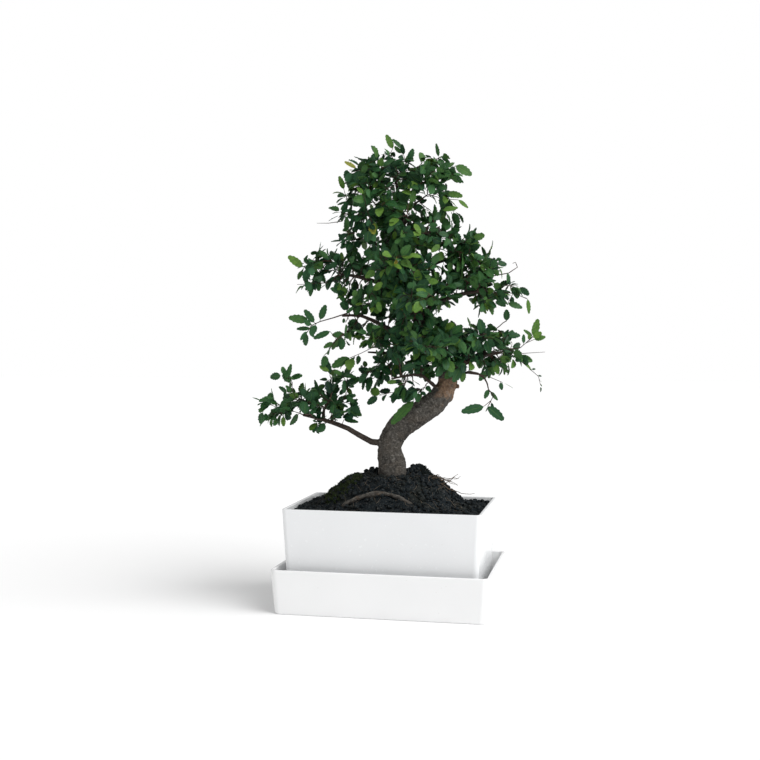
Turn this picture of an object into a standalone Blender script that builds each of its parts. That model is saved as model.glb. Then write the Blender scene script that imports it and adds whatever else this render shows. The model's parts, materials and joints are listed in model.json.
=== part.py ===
"""Bonsai elm in a white rectangular pot that stands in a deep white tray.

Units are metres and +Z is up. The origin is the middle of the tray's underside. The pot's front faces -Y.
The tree is drawn in its own frame: X to the right of its best side, Y to the back, Z up from the soil.
"""

import math
import random
from collections import namedtuple

import bmesh
import bpy
from mathutils import Matrix, Vector, noise
from mathutils.bvhtree import BVHTree

MM = 0.001

# Room left between two pieces that touch.
GAP = 0.3 * MM
# Room round a root or the trunk in the soil, a little more than the gap for the tubes' flat sides.
SOCKET_ROOM = GAP * 1.15

# Pot, sized over its rim. Its sides lean in towards the foot.
POT_WIDTH = 200 * MM
POT_DEPTH = 135 * MM
POT_HEIGHT = 99.5 * MM
POT_WALL = 3.2 * MM
POT_CORNER = 5.5 * MM
POT_LEAN = 0.054
RIM_ROUND = 0.8 * MM
DRAIN_RADIUS = 6 * MM
DRAIN_SPACING = 90 * MM

# Tray, which reaches past the pot's rim on every side.
TRAY_REACH = 9.6 * MM
TRAY_HEIGHT = 44 * MM
TRAY_WALL = 3.6 * MM
TRAY_CORNER = 8 * MM
TRAY_LEAN = 0.066

# Soil: level at the wall, heaped up round the trunk.
SOIL_BELOW_RIM = 4 * MM
MOUND_HEIGHT = 32 * MM
# The mound's foot lies this far in from the pot's rim, at its sides and at its front and back.
MOUND_INSET_SIDE = 15 * MM
MOUND_INSET_FRONT = 12 * MM
MOUND_HALF_WIDTH = POT_WIDTH / 2 - MOUND_INSET_SIDE
MOUND_HALF_DEPTH = POT_DEPTH / 2 - MOUND_INSET_FRONT
# The mound is level up to the first share of its reach and runs out at the second.
MOUND_TOP = 0.42
MOUND_END = 1.05
# Two heaps on the mound: the middle's x and y, the radius and the height.
HEAPS = ((25 * MM, 14 * MM, 9 * MM, 9 * MM), (-22 * MM, 9 * MM, 7 * MM, 8 * MM))
SOIL_CELL = 7 * MM
SOIL_ROUGHNESS = 1.6 * MM
# The size of the soil's waves, and the share of them left on the level soil at the wall.
SOIL_WAVE = 13 * MM
SOIL_LEVEL_ROUGHNESS = 0.35
SOIL_CHAMFER = 1.6 * MM
MOSS_THICKNESS = 2.6 * MM
MOSS_EDGE = 0.9 * MM
# Measured upwards, which leaves the gap square to the mound's slope.
MOSS_LIFT = GAP * 1.5

# Tree. The paths below are drawn for a tree of DRAWN_HEIGHT with a trunk of DRAWN_TRUNK radius.
TREE_TURN = math.radians(12)
TREE_HEIGHT = 303 * MM
TRUNK_RADIUS = 14.4 * MM
DRAWN_HEIGHT = 303 * MM
DRAWN_TRUNK = 14.4 * MM

# The scar of a cut branch: its radius, its share of the trunk's length and how far it stands out.
STUB_RADIUS = 3.2 * MM
STUB_PLACE = 0.437
STUB_REACH = Vector((2.4, -2.0, 0.5)) * MM

# Leafy shoots: a twig of short stretches with a leaf on alternate sides of it.
TWIG_RADIUS = 0.75 * MM
TWIG_STEP = 4.2 * MM
LEAF_LENGTH = 20 * MM
LEAF_WIDTH = 11 * MM
LEAF_THICKNESS = 0.8 * MM
LEAVES_A_SHOOT = 9
# Where a leaf is widest, as a share of its length, and how much of its droop it has there.
LEAF_WIDEST = 0.42
LEAF_WIDEST_DROOP = 0.3
SEED = 41

GLAZE_WHITE = (0.86, 0.86, 0.87)
TRAY_WHITE = (0.88, 0.88, 0.88)
SOIL_BROWN = (0.028, 0.022, 0.017)
MOSS_GREEN = (0.035, 0.055, 0.018)
BARK_BROWN = (0.20, 0.155, 0.125)
ROOT_BROWN = (0.24, 0.16, 0.10)
LEAF_GREENS = ((0.022, 0.085, 0.020), (0.035, 0.12, 0.022), (0.060, 0.17, 0.030))

# Points are (right, back, up) in millimetres from the soil at the trunk's foot, and the last is the radius.
TRUNK = (
    (1, 0, -30, 8.0),
    (0, 0, -14, 15.0),
    (0, 0, 0, 15.2),
    (-1, 0, 15, 14.2),
    (-3, -1, 29, 12.6),
    (0, -2, 41, 12.8),
    (9, -3, 53, 13.2),
    (22, -3, 62, 13.2),
    (38, -2, 72, 12.8),
    (51, 0, 85, 11.8),
    (57, 2, 100, 10.0),
    (55, 4, 115, 8.8),
    (47, 5, 131, 8.0),
    (36, 5, 147, 7.4),
    (26, 4, 164, 7.0),
    (18, 2, 182, 6.4),
    (13, 0, 202, 5.8),
    (11, -2, 224, 5.2),
    (10, -2, 245, 4.6),
    (9, 0, 263, 3.7),
    (7, 2, 279, 2.8),
    (5, 2, 293, 1.9),
    (3, 0, 303, 1.3),
)

# A branch leaves its parent at a share of the parent's length, and its path gives the points that follow.
Branch = namedtuple("Branch", "name parent share radius path shoots")
BRANCHES = (
    Branch(
        "lower_left",
        "trunk",
        0.20,
        4.2,
        ((-22, -5, 36), (-46, -8, 50), (-71, -10, 59), (-92, -8, 64)),
        3,
    ),
    Branch("lower_left_rise", "lower_left", 0.75, 2.2, ((-70, -15, 70), (-64, -18, 80)), 2),
    Branch("lower_left_front", "lower_left", 0.62, 1.9, ((-72, -30, 60), (-78, -44, 62)), 1),
    Branch("lower_left_back", "lower_left", 0.88, 1.9, ((-92, 10, 70), (-96, 22, 77)), 2),
    Branch("inner_left", "trunk", 0.42, 2.4, ((30, -18, 104), (12, -24, 104), (-2, -24, 101)), 1),
    Branch("right_drooping", "trunk", 0.455, 2.0, ((78, -12, 108), (93, -16, 102), (97, -18, 90)), 1),
    Branch("lower_right", "trunk", 0.48, 4.0, ((76, 0, 118), (96, -4, 125), (112, -6, 128)), 3),
    Branch("lower_right_rise", "lower_right", 0.60, 2.2, ((92, 16, 138), (104, 26, 146)), 2),
    Branch("low_front", "trunk", 0.50, 3.0, ((46, -26, 132), (32, -46, 134)), 2),
    Branch("low_back", "trunk", 0.52, 3.2, ((44, 30, 142), (36, 52, 148)), 2),
    Branch(
        "middle_left",
        "trunk",
        0.56,
        3.4,
        ((12, -8, 144), (-10, -12, 155), (-32, -12, 165), (-52, -12, 165)),
        3,
    ),
    Branch("middle_left_low", "trunk", 0.535, 2.8, ((18, 8, 130), (-6, 12, 127), (-26, 10, 128)), 2),
    Branch("middle_front", "trunk", 0.62, 2.8, ((22, -26, 174), (24, -46, 178)), 2),
    Branch("middle_right", "trunk", 0.63, 3.8, ((48, -4, 180), (74, -8, 188), (96, -8, 191)), 3),
    Branch("middle_back", "trunk", 0.65, 2.8, ((6, 28, 188), (-4, 48, 194)), 2),
    Branch("upper_left", "trunk", 0.68, 3.4, ((-12, -6, 198), (-36, -8, 205), (-54, -6, 208)), 3),
    Branch("upper_right", "trunk", 0.72, 3.2, ((36, 6, 216), (60, 10, 225), (82, 8, 222)), 3),
    Branch("upper_front", "trunk", 0.74, 2.4, ((4, -24, 216), (-4, -38, 220)), 1),
    Branch("high_left", "trunk", 0.77, 2.6, ((-12, 6, 236), (-30, 8, 250)), 2),
    Branch("high_back", "trunk", 0.79, 2.2, ((16, 22, 240), (22, 36, 246)), 1),
    Branch("high_right", "trunk", 0.82, 2.6, ((32, -6, 248), (48, -8, 256)), 2),
    Branch("top_front", "trunk", 0.85, 1.9, ((12, -18, 258), (14, -28, 266)), 1),
    Branch("top_left", "trunk", 0.89, 2.0, ((-10, -2, 272), (-22, -4, 284)), 2),
    Branch("top_right", "trunk", 0.90, 2.0, ((22, 2, 280), (36, 2, 290)), 2),
    Branch("top_back", "trunk", 0.94, 1.7, ((4, 14, 286), (2, 22, 294)), 1),
    Branch("crown", "trunk", 0.99, 1.2, ((2, 0, 307),), 1),
)

# A surface root loops out of the mound in front, and a dry root stands out of its right shoulder.
# Their heights are counted from the soil below each point. They and the moss pads are drawn for a
# mound of these half sizes, and spread or shrink with the real one.
DRAWN_MOUND = (85 * MM, 55.5 * MM)
ARCHED_ROOT = (
    (-2, -4, -20, 4.2),
    (-22, -14, -14, 3.4),
    (-44, -24, -10, 2.8),
    (-51, -29, -3, 2.6),
    (-46, -32, 1.5, 2.5),
    (-36, -34, 3.2, 2.5),
    (-24, -36, 3.0, 2.5),
    (-10, -39, 2.6, 2.4),
    (4, -43, 2.0, 2.2),
    (14, -45, -0.5, 2.0),
    (22, -44, -6, 1.5),
)
DRY_ROOT = ((42, -12, -8, 1.3), (47, -10, -3, 1.3), (53, -9, 1.5, 1.1), (62, -8, 6, 0.9), (70, -8, 8, 0.8))
DRY_FORK = ((50, -10, -1, 1.0), (54, -12, 7, 0.9), (59, -13, 15, 0.8))

# Moss pads: the heading from the trunk in degrees, the room left to the trunk, and the pad's radius.
Pad = namedtuple("Pad", "name heading clearance radius")
MOSS_PADS = (Pad("moss_left", 182, 13, 21), Pad("moss_right", 13, 10, 17), Pad("moss_back", 100, 4, 19))


def clear_scene():
    for item in list(bpy.data.objects):
        bpy.data.objects.remove(item, do_unlink=True)


def new_collection(name):
    made = bpy.data.collections.new(name)
    bpy.context.scene.collection.children.link(made)
    return made


def material(name, colour, roughness, metallic=0.0):
    made = bpy.data.materials.new(name)
    made.use_nodes = True
    shader = made.node_tree.nodes["Principled BSDF"]
    shader.inputs["Base Color"].default_value = (*colour, 1.0)
    shader.inputs["Roughness"].default_value = roughness
    shader.inputs["Metallic"].default_value = metallic
    return made


def add_object(name, mesh, collection, parent=None, surface=None):
    made = bpy.data.objects.new(name, mesh)
    collection.objects.link(made)
    made.parent = parent
    if surface:
        mesh.materials.append(surface)
    return made


def hide_cutter(item):
    item.hide_render = True
    item.display_type = "WIRE"


def mesh_from(bm, name):
    """Turns the bmesh into a mesh and frees it."""
    mesh = bpy.data.meshes.new(name)
    bm.normal_update()
    bm.to_mesh(mesh)
    bm.free()
    return mesh


# Tray and pot


def lean_box(width, depth, height, lean, corner):
    """An open box on z = 0 of the given size at its top edge, with rounded upright corners."""
    bm = bmesh.new()
    bmesh.ops.create_cube(bm, size=1.0)
    for vert in bm.verts:
        inset = lean * height if vert.co.z < 0 else 0.0
        vert.co.x = math.copysign(width / 2 - inset, vert.co.x)
        vert.co.y = math.copysign(depth / 2 - inset, vert.co.y)
        vert.co.z = height if vert.co.z > 0 else 0.0
    uprights = [edge for edge in bm.edges if abs(edge.verts[0].co.z - edge.verts[1].co.z) > height / 2]
    bmesh.ops.bevel(bm, geom=uprights, offset=corner, segments=4, profile=0.5, affect="EDGES")
    bm.normal_update()
    tops = [face for face in bm.faces if face.normal.z > 0.9]
    bmesh.ops.delete(bm, geom=tops, context="FACES")
    return bm


def add_shell(item, wall):
    """Gives the open box its wall, on the inside, and rounds its rim and foot."""
    shell = item.modifiers.new("wall", "SOLIDIFY")
    shell.thickness = wall
    shell.offset = -1.0
    shell.use_even_offset = True
    rounding = item.modifiers.new("rounding", "BEVEL")
    rounding.width = RIM_ROUND
    rounding.segments = 2
    rounding.limit_method = "ANGLE"
    rounding.angle_limit = math.radians(50)


def cut_drains(pot, cutters):
    """Two round holes through the pot's floor."""
    for side in (-1, 1):
        bpy.ops.mesh.primitive_cylinder_add(
            vertices=20,
            radius=DRAIN_RADIUS,
            depth=POT_WALL * 4,
            location=(side * DRAIN_SPACING / 2, 0, pot.location.z + POT_WALL / 2),
        )
        cutter = bpy.context.object
        cutter.name = "drain_cutter_left" if side < 0 else "drain_cutter_right"
        for holder in list(cutter.users_collection):
            holder.objects.unlink(cutter)
        cutters.objects.link(cutter)
        hide_cutter(cutter)
        cut = pot.modifiers.new("drain", "BOOLEAN")
        cut.operation = "DIFFERENCE"
        cut.solver = "EXACT"
        cut.object = cutter


def make_tray(collection, parent):
    width = POT_WIDTH + 2 * TRAY_REACH
    depth = POT_DEPTH + 2 * TRAY_REACH
    bm = lean_box(width, depth, TRAY_HEIGHT, TRAY_LEAN, TRAY_CORNER)
    surface = material("white_tray", TRAY_WHITE, 0.28)
    tray = add_object("tray", mesh_from(bm, "tray"), collection, parent, surface)
    add_shell(tray, TRAY_WALL)
    return tray


def make_pot(collection, cutters, parent):
    bm = lean_box(POT_WIDTH, POT_DEPTH, POT_HEIGHT, POT_LEAN, POT_CORNER)
    surface = material("white_glaze", GLAZE_WHITE, 0.32)
    pot = add_object("pot", mesh_from(bm, "pot"), collection, parent, surface)
    pot.location.z = TRAY_WALL + GAP
    add_shell(pot, POT_WALL)
    cut_drains(pot, cutters)
    return pot


# Soil and moss, both in the pot's own frame


def room_inside(half_size, height):
    """Half of the soil's size at this height, clear of the pot's leaning wall."""
    return half_size - POT_LEAN * (POT_HEIGHT - height) - POT_WALL - GAP


def mound_share(x, y):
    """1 on top of the mound, falling smoothly to 0 at its foot."""
    reach = math.hypot(x / MOUND_HALF_WIDTH, y / MOUND_HALF_DEPTH)
    fall = min(max((reach - MOUND_TOP) / (MOUND_END - MOUND_TOP), 0.0), 1.0)
    return 1.0 - fall * fall * (3.0 - 2.0 * fall)


def heap_height(x, y, centre_x, centre_y, radius, height):
    return height * math.exp(-((x - centre_x) ** 2 + (y - centre_y) ** 2) / radius**2)


def ground(x, y):
    """Height of the soil in the pot's frame."""
    level = POT_HEIGHT - SOIL_BELOW_RIM
    share = mound_share(x, y)
    rough = noise.noise(Vector((x, y, 0.0)) / SOIL_WAVE) * SOIL_ROUGHNESS
    heaps = sum(heap_height(x, y, *heap) for heap in HEAPS)
    return level + share * (MOUND_HEIGHT + heaps) + rough * (SOIL_LEVEL_ROUGHNESS + share)


def even_cells(size):
    return 2 * max(2, round(size / SOIL_CELL / 2))


def soil_top():
    """The soil's upper face as a grid that fits the pot just below its rim."""
    level = POT_HEIGHT - SOIL_BELOW_RIM
    half_x = room_inside(POT_WIDTH / 2, level)
    half_y = room_inside(POT_DEPTH / 2, level)
    bm = bmesh.new()
    bmesh.ops.create_grid(bm, x_segments=even_cells(POT_WIDTH), y_segments=even_cells(POT_DEPTH), size=1.0)
    corner_inset = 0.3 * (POT_CORNER - POT_WALL) + 0.5 * MM
    for vert in bm.verts:
        at_corner = abs(vert.co.x) > 0.999 and abs(vert.co.y) > 0.999
        x = vert.co.x * half_x
        y = vert.co.y * half_y
        height = ground(x, y)
        x = min(max(x, -room_inside(POT_WIDTH / 2, height)), room_inside(POT_WIDTH / 2, height))
        y = min(max(y, -room_inside(POT_DEPTH / 2, height)), room_inside(POT_DEPTH / 2, height))
        if at_corner:
            x -= math.copysign(corner_inset, x)
            y -= math.copysign(corner_inset, y)
        vert.co = (x, y, height)
    bmesh.ops.triangulate(bm, faces=bm.faces, quad_method="FIXED")
    return bm


def extend_down(bm, edges, bottom, chamfer):
    """Grows a ring of walls from these edges down to the given height, leaning as the pot does."""
    made = bmesh.ops.extrude_edge_only(bm, edges=edges)["geom"]
    for vert in (item for item in made if isinstance(item, bmesh.types.BMVert)):
        inset = POT_LEAN * (vert.co.z - bottom) + chamfer
        if abs(vert.co.x) > room_inside(POT_WIDTH / 2, 0) - SOIL_CHAMFER:
            vert.co.x -= math.copysign(inset, vert.co.x)
        if abs(vert.co.y) > room_inside(POT_DEPTH / 2, 0) - SOIL_CHAMFER:
            vert.co.y -= math.copysign(inset, vert.co.y)
        vert.co.z = bottom
    return [item for item in made if isinstance(item, bmesh.types.BMEdge)]


def make_soil(collection, parent, surface):
    bm = soil_top()
    floor = POT_WALL + GAP
    rim = [edge for edge in bm.edges if edge.is_boundary]
    lower = extend_down(bm, rim, floor + SOIL_CHAMFER, 0.0)
    foot = extend_down(bm, lower, floor, SOIL_CHAMFER)
    bmesh.ops.contextual_create(bm, geom=foot)
    bmesh.ops.recalc_face_normals(bm, faces=bm.faces)
    mesh = mesh_from(bm, "soil")
    mesh.shade_smooth()
    mesh.set_sharp_from_angle(angle=math.radians(50))
    return add_object("soil", mesh, collection, parent, surface)


def mound_growth():
    """How much wider and deeper the mound is than the drawn one."""
    return MOUND_HALF_WIDTH / DRAWN_MOUND[0], MOUND_HALF_DEPTH / DRAWN_MOUND[1]


def pad_reach(pad):
    """A pad's radius, which shrinks with the mound so that the roots beside it keep their room."""
    return pad.radius * MM * min(mound_growth())


def pad_centre(pad):
    """The middle of a moss pad, in the pot's frame, so that its edge stays clear of the trunk."""
    away = TRUNK_RADIUS * 1.1 + pad.clearance * MM + pad_reach(pad)
    heading = math.radians(pad.heading) + TREE_TURN
    return Vector((away * math.cos(heading), away * math.sin(heading)))


def make_moss(pad, collection, cutters, parent, surface):
    """A round pad of moss that follows the soil, lifted off it by the gap and thinner at its edge."""
    centre = pad_centre(pad)
    reach = pad_reach(pad)
    bm = soil_top()
    far = [face for face in bm.faces if (face.calc_center_median().xy - centre).length > reach + SOIL_CELL]
    bmesh.ops.delete(bm, geom=far, context="FACES")
    bmesh.ops.translate(bm, verts=bm.verts, vec=(0, 0, MOSS_LIFT))
    made = bmesh.ops.extrude_face_region(bm, geom=bm.faces[:], use_keep_orig=True)["geom"]
    for vert in (item for item in made if isinstance(item, bmesh.types.BMVert)):
        share = min((vert.co.xy - centre).length / reach, 1.0)
        vert.co.z += MOSS_EDGE + MOSS_THICKNESS * (1 - share * share)
    bmesh.ops.recalc_face_normals(bm, faces=bm.faces)
    mesh = mesh_from(bm, pad.name)
    mesh.shade_smooth()
    moss = add_object(pad.name, mesh, collection, parent, surface)
    outline = bmesh.new()
    tall = POT_HEIGHT
    bmesh.ops.create_cone(outline, cap_ends=True, segments=20, radius1=reach, radius2=reach, depth=tall)
    cutter = add_object(pad.name + "_outline", mesh_from(outline, pad.name + "_outline"), cutters, parent)
    cutter.location = (centre.x, centre.y, POT_HEIGHT + MOUND_HEIGHT / 2)
    hide_cutter(cutter)
    trim = moss.modifiers.new("outline", "BOOLEAN")
    trim.operation = "INTERSECT"
    trim.solver = "EXACT"
    trim.object = cutter
    return moss


# Wood


def drawn(points):
    """Millimetre points of the drawing at the tree's real size."""
    tall = TREE_HEIGHT / DRAWN_HEIGHT * MM
    thick = TRUNK_RADIUS / DRAWN_TRUNK * MM
    return [Vector((x * tall, y * tall, z * tall, radius * thick)) for x, y, z, radius in points]


def smooth_path(points, steps):
    """A Catmull-Rom curve through points that hold a place and a radius."""
    path = [2 * points[0] - points[1], *points, 2 * points[-1] - points[-2]]
    found = []
    for before, start, end, after in zip(path, path[1:], path[2:], path[3:]):
        for step in range(steps):
            t = step / steps
            curved = (2 * before - 5 * start + 4 * end - after) * t**2
            twisted = (3 * start - before - 3 * end + after) * t**3
            found.append(0.5 * (2 * start + (end - before) * t + curved + twisted))
    found.append(points[-1])
    return found


def tube_mesh(name, path, resolution, extra=0.0):
    """A closed tube along a path of places and radii. extra is added to its radius and to both ends."""
    first = (path[0] - path[1]).xyz.normalized() * extra
    last = (path[-1] - path[-2]).xyz.normalized() * extra
    places = [point.xyz for point in path]
    places[0] = places[0] + first
    places[-1] = places[-1] + last
    curve = bpy.data.curves.new(name, "CURVE")
    curve.dimensions = "3D"
    curve.bevel_depth = 1.0
    curve.bevel_resolution = resolution
    curve.use_fill_caps = True
    spline = curve.splines.new("POLY")
    spline.points.add(len(path) - 1)
    for point, place, source in zip(spline.points, places, path):
        point.co = (*place, 1.0)
        point.radius = source.w + extra
    holder = bpy.data.objects.new(name, curve)
    bpy.context.scene.collection.objects.link(holder)
    graph = bpy.context.evaluated_depsgraph_get()
    mesh = bpy.data.meshes.new_from_object(holder.evaluated_get(graph))
    bpy.data.objects.remove(holder)
    bm = bmesh.new()
    bm.from_mesh(mesh)
    bmesh.ops.remove_doubles(bm, verts=bm.verts, dist=0.02 * MM)
    bmesh.ops.recalc_face_normals(bm, faces=bm.faces)
    bm.to_mesh(mesh)
    bm.free()
    return mesh


def all_paths():
    """Every branch's path by name, each starting on its parent's centre line."""
    paths = {"trunk": smooth_path(drawn(TRUNK), 2)}
    for branch in BRANCHES:
        parent = paths[branch.parent]
        start = parent[round(branch.share * (len(parent) - 1))].copy()
        count = len(branch.path)
        radii = [branch.radius * (1 - 0.6 * (index + 1) / count) for index in range(count)]
        points = drawn([(*point, radius) for point, radius in zip(branch.path, radii)])
        start.w = branch.radius * MM * TRUNK_RADIUS / DRAWN_TRUNK
        paths[branch.name] = smooth_path([start, *points], 2)
    return paths


def collar_height():
    """Where the trunk leaves the soil, in the pot's frame."""
    return POT_HEIGHT - SOIL_BELOW_RIM + MOUND_HEIGHT


def on_ground(points):
    """A root's path in the tree's frame. It keeps its place on the mound if the mound changes size."""
    turn = Matrix.Rotation(TREE_TURN, 2)
    wider, deeper = mound_growth()
    found = []
    for x, y, above, radius in points:
        place = turn @ Vector((x, y)) * MM
        place.x *= wider
        place.y *= deeper
        height = ground(place.x, place.y) + above * MM - collar_height()
        flat = turn.transposed() @ place
        found.append(Vector((flat.x, flat.y, height, radius * MM)))
    return smooth_path(found, 2)


def union_with(item, collection):
    """Joins everything in a collection of closed tubes to the object."""
    join = item.modifiers.new("join", "BOOLEAN")
    join.operation = "UNION"
    join.solver = "EXACT"
    join.operand_type = "COLLECTION"
    join.collection = collection


def fill_collection(name, parent_collection, meshes, parent):
    """A hidden collection of solids that another object is cut with or joined to."""
    holder = bpy.data.collections.new(name)
    parent_collection.children.link(holder)
    for mesh in meshes:
        hide_cutter(add_object(mesh.name + "_solid", mesh, holder, parent))
    return holder


def stub_path(paths):
    """The scar of a cut branch on the outside of the trunk's upper bend."""
    seat = paths["trunk"][round(STUB_PLACE * (len(paths["trunk"]) - 1))]
    end = seat.xyz + Vector((seat.w, 0, 0)) + STUB_REACH
    return [Vector((*seat.xyz, STUB_RADIUS)), Vector((*end, STUB_RADIUS * 0.8))]


def make_wood(paths, collection, cutters, parent, surface):
    """Trunk, branches and the arched root as the one piece that grew."""
    mesh = tube_mesh("trunk_and_branches", paths["trunk"], 3)
    mesh.shade_smooth()
    wood = add_object("trunk_and_branches", mesh, collection, parent, surface)
    tubes = [tube_mesh(branch.name, paths[branch.name], 1) for branch in BRANCHES]
    tubes.append(tube_mesh("arched_root", on_ground(ARCHED_ROOT), 1))
    tubes.append(tube_mesh("stub", stub_path(paths), 1))
    union_with(wood, fill_collection("branch_tubes", cutters, tubes, parent))
    return wood


def make_dry_root(collection, cutters, parent, surface):
    """A thin dead root with one fork that stands out of the mound."""
    mesh = tube_mesh("dry_root", on_ground(DRY_ROOT), 1)
    root = add_object("dry_root", mesh, collection, parent, surface)
    fork = tube_mesh("dry_fork", on_ground(DRY_FORK), 1)
    union_with(root, fill_collection("dry_root_tubes", cutters, [fork], parent))
    return root


def cut_sockets(soil, paths, cutters, parent):
    """Opens the soil round everything that goes into it, with the gap all round."""
    sunk = {
        "trunk_socket": (paths["trunk"][:12], 3),
        "arched_root_socket": (on_ground(ARCHED_ROOT), 1),
        "dry_root_socket": (on_ground(DRY_ROOT), 1),
        "dry_fork_socket": (on_ground(DRY_FORK), 1),
    }
    meshes = [tube_mesh(name, path, resolution, SOCKET_ROOM) for name, (path, resolution) in sunk.items()]
    cut = soil.modifiers.new("sockets", "BOOLEAN")
    cut.operation = "DIFFERENCE"
    cut.solver = "EXACT"
    cut.operand_type = "COLLECTION"
    cut.collection = fill_collection("soil_sockets", cutters, meshes, parent)


# Leafy shoots

Leaf = namedtuple("Leaf", "step side length width forward twist droop")

# A leaf's foot, the middle of its widest section with its two half axes, its tip, and the foot's own axes.
LeafPoints = namedtuple("LeafPoints", "foot centre wide thick tip across normal")


def twig_frames(rng, steps):
    """Places and radii of the twig's rings, along local Z with a gentle bend."""
    bend = Vector((rng.uniform(-0.05, 0.05), rng.uniform(-0.05, 0.05), 0))
    heading = Vector((0, 0, 1))
    place = Vector((0, 0, 0))
    rings = []
    for step in range(steps + 1):
        radius = TWIG_RADIUS * (1 - 0.35 * step / steps)
        rings.append((place.copy(), radius))
        heading = (heading + bend + Vector((0.10 * (-1) ** step, 0, 0))).normalized()
        place += heading * TWIG_STEP
    return rings


def leaf_points(leaf, rings, extra=0.0):
    """Where a leaf on the twig's side lies; extra makes it that much bigger all round."""
    (low, low_radius), (high, high_radius) = rings[leaf.step], rings[leaf.step + 1]
    middle = (low + high) / 2
    up = (high - low).normalized()
    out = Vector((leaf.side, 0, 0))
    out = (out - up * out.dot(up)).normalized()
    heading = (out * math.sin(leaf.forward) + up * math.cos(leaf.forward)).normalized()
    normal = Vector((0, 1, 0))
    across = heading.cross(normal).normalized() * leaf.side
    turn = Matrix.Rotation(leaf.twist, 3, heading)
    sag = turn @ normal * leaf.droop * leaf.length
    foot = middle + out * low_radius
    centre = foot + heading * leaf.length * LEAF_WIDEST - sag * LEAF_WIDEST_DROOP
    wide = turn @ across * (leaf.width / 2 + extra)
    thick = turn @ normal * (LEAF_THICKNESS / 2 + extra)
    tip = foot + heading * (leaf.length + extra) - sag
    return LeafPoints(foot, centre, wide, thick, tip, across, normal)


def terminal_points(leaf, rings, extra=0.0):
    """The leaf at the twig's end, which grows from its cap."""
    end = rings[-1][0]
    up = (end - rings[-2][0]).normalized()
    turn = Matrix.Rotation(leaf.twist, 3, up)
    across = Vector((1, 0, 0))
    normal = Vector((0, 1, 0))
    sag = turn @ normal * leaf.droop * leaf.length
    wide = turn @ across * (leaf.width / 2 + extra)
    thick = turn @ normal * (LEAF_THICKNESS / 2 + extra)
    centre = end + up * leaf.length * LEAF_WIDEST - sag * LEAF_WIDEST_DROOP
    return LeafPoints(end, centre, wide, thick, end + up * (leaf.length + extra) - sag, across, normal)


def kite_tree(points, place):
    """A search tree of one leaf's surface, moved to where the shoot stands."""
    foot = points.foot + (points.centre - points.foot) * 0.25
    signs = ((1, 1), (-1, 1), (-1, -1), (1, -1))
    corners = [points.centre + points.wide * a + points.thick * b for a, b in signs]
    feet = [foot + (corner - points.centre) * 0.4 for corner in corners]
    verts = [place @ point for point in (*feet, *corners, points.tip)]
    faces = [(a, (a + 1) % 4, (a + 1) % 4 + 4, a + 4) for a in range(4)]
    faces += [(a + 4, (a + 1) % 4 + 4, 8) for a in range(4)]
    return BVHTree.FromPolygons(verts, faces)


def twig_tree(rings, place, extra):
    """A search tree of the bare twig's surface."""
    signs = ((1, 1), (-1, 1), (-1, -1), (1, -1))
    verts = []
    for centre, radius in rings:
        verts += [place @ (centre + Vector((x, y, 0)) * (radius + extra)) for x, y in signs]
    faces = []
    for ring in range(len(rings) - 1):
        base = ring * 4
        faces += [(base + a, base + (a + 1) % 4, base + (a + 1) % 4 + 4, base + a + 4) for a in range(4)]
    faces += [(0, 1, 2, 3), tuple(len(verts) - 4 + a for a in range(4))]
    return BVHTree.FromPolygons(verts, faces)


def is_free(tree, others):
    return not any(tree.overlap(other) for other in others)


def draw_leaf(rng, step, steps):
    """One leaf of the shoot; those near the twig's end are younger and smaller."""
    youth = 1 - 0.35 * (step / steps) ** 2
    size = youth * rng.uniform(0.85, 1.15)
    return Leaf(
        step=step,
        side=1 if step % 2 else -1,
        length=LEAF_LENGTH * size,
        width=LEAF_WIDTH * size * rng.uniform(0.92, 1.05),
        forward=math.radians(rng.uniform(45, 66)),
        twist=math.radians(rng.uniform(-38, 38)),
        droop=rng.uniform(-0.08, 0.30),
    )


def plan_leaves(rng, rings, place, others):
    """Draws leaves until each has room, and leaves out one that finds none."""
    steps = len(rings) - 1
    kept = []
    trees = []
    for step in range(1, steps + 1):
        points_of = leaf_points if step < steps else terminal_points
        for _ in range(7):
            leaf = draw_leaf(rng, step, steps)
            tree = kite_tree(points_of(leaf, rings, GAP), place)
            if is_free(tree, others) and is_free(tree, trees):
                kept.append(leaf)
                trees.append(kite_tree(points_of(leaf, rings, GAP), place))
                break
    return kept


def grow_leaf(bm, face, points):
    """Pulls a leaf out of one face of the twig: widest in the middle and pointed at its tip."""
    middle = face.calc_center_median()
    grown = bmesh.ops.extrude_discrete_faces(bm, faces=[face])["faces"][0]
    for vert in grown.verts:
        offset = vert.co - middle
        side_wide = math.copysign(1, offset.dot(points.across))
        side_thick = math.copysign(1, offset.dot(points.normal))
        vert.co = points.centre + points.wide * side_wide + points.thick * side_thick
    point = bmesh.ops.poke(bm, faces=[grown])["verts"][0]
    point.co = points.tip


def side_faces(bm, rings):
    """The twig's faces that look along local X, by (step, side)."""
    found = {}
    for face in bm.faces:
        middle = face.calc_center_median()
        for step in range(len(rings) - 1):
            centre = (rings[step][0] + rings[step + 1][0]) / 2
            if abs(middle.z - centre.z) < TWIG_STEP * 0.2 and abs(face.normal.x) > 0.8:
                found[step, 1 if face.normal.x > 0 else -1] = face
    return found


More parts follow.
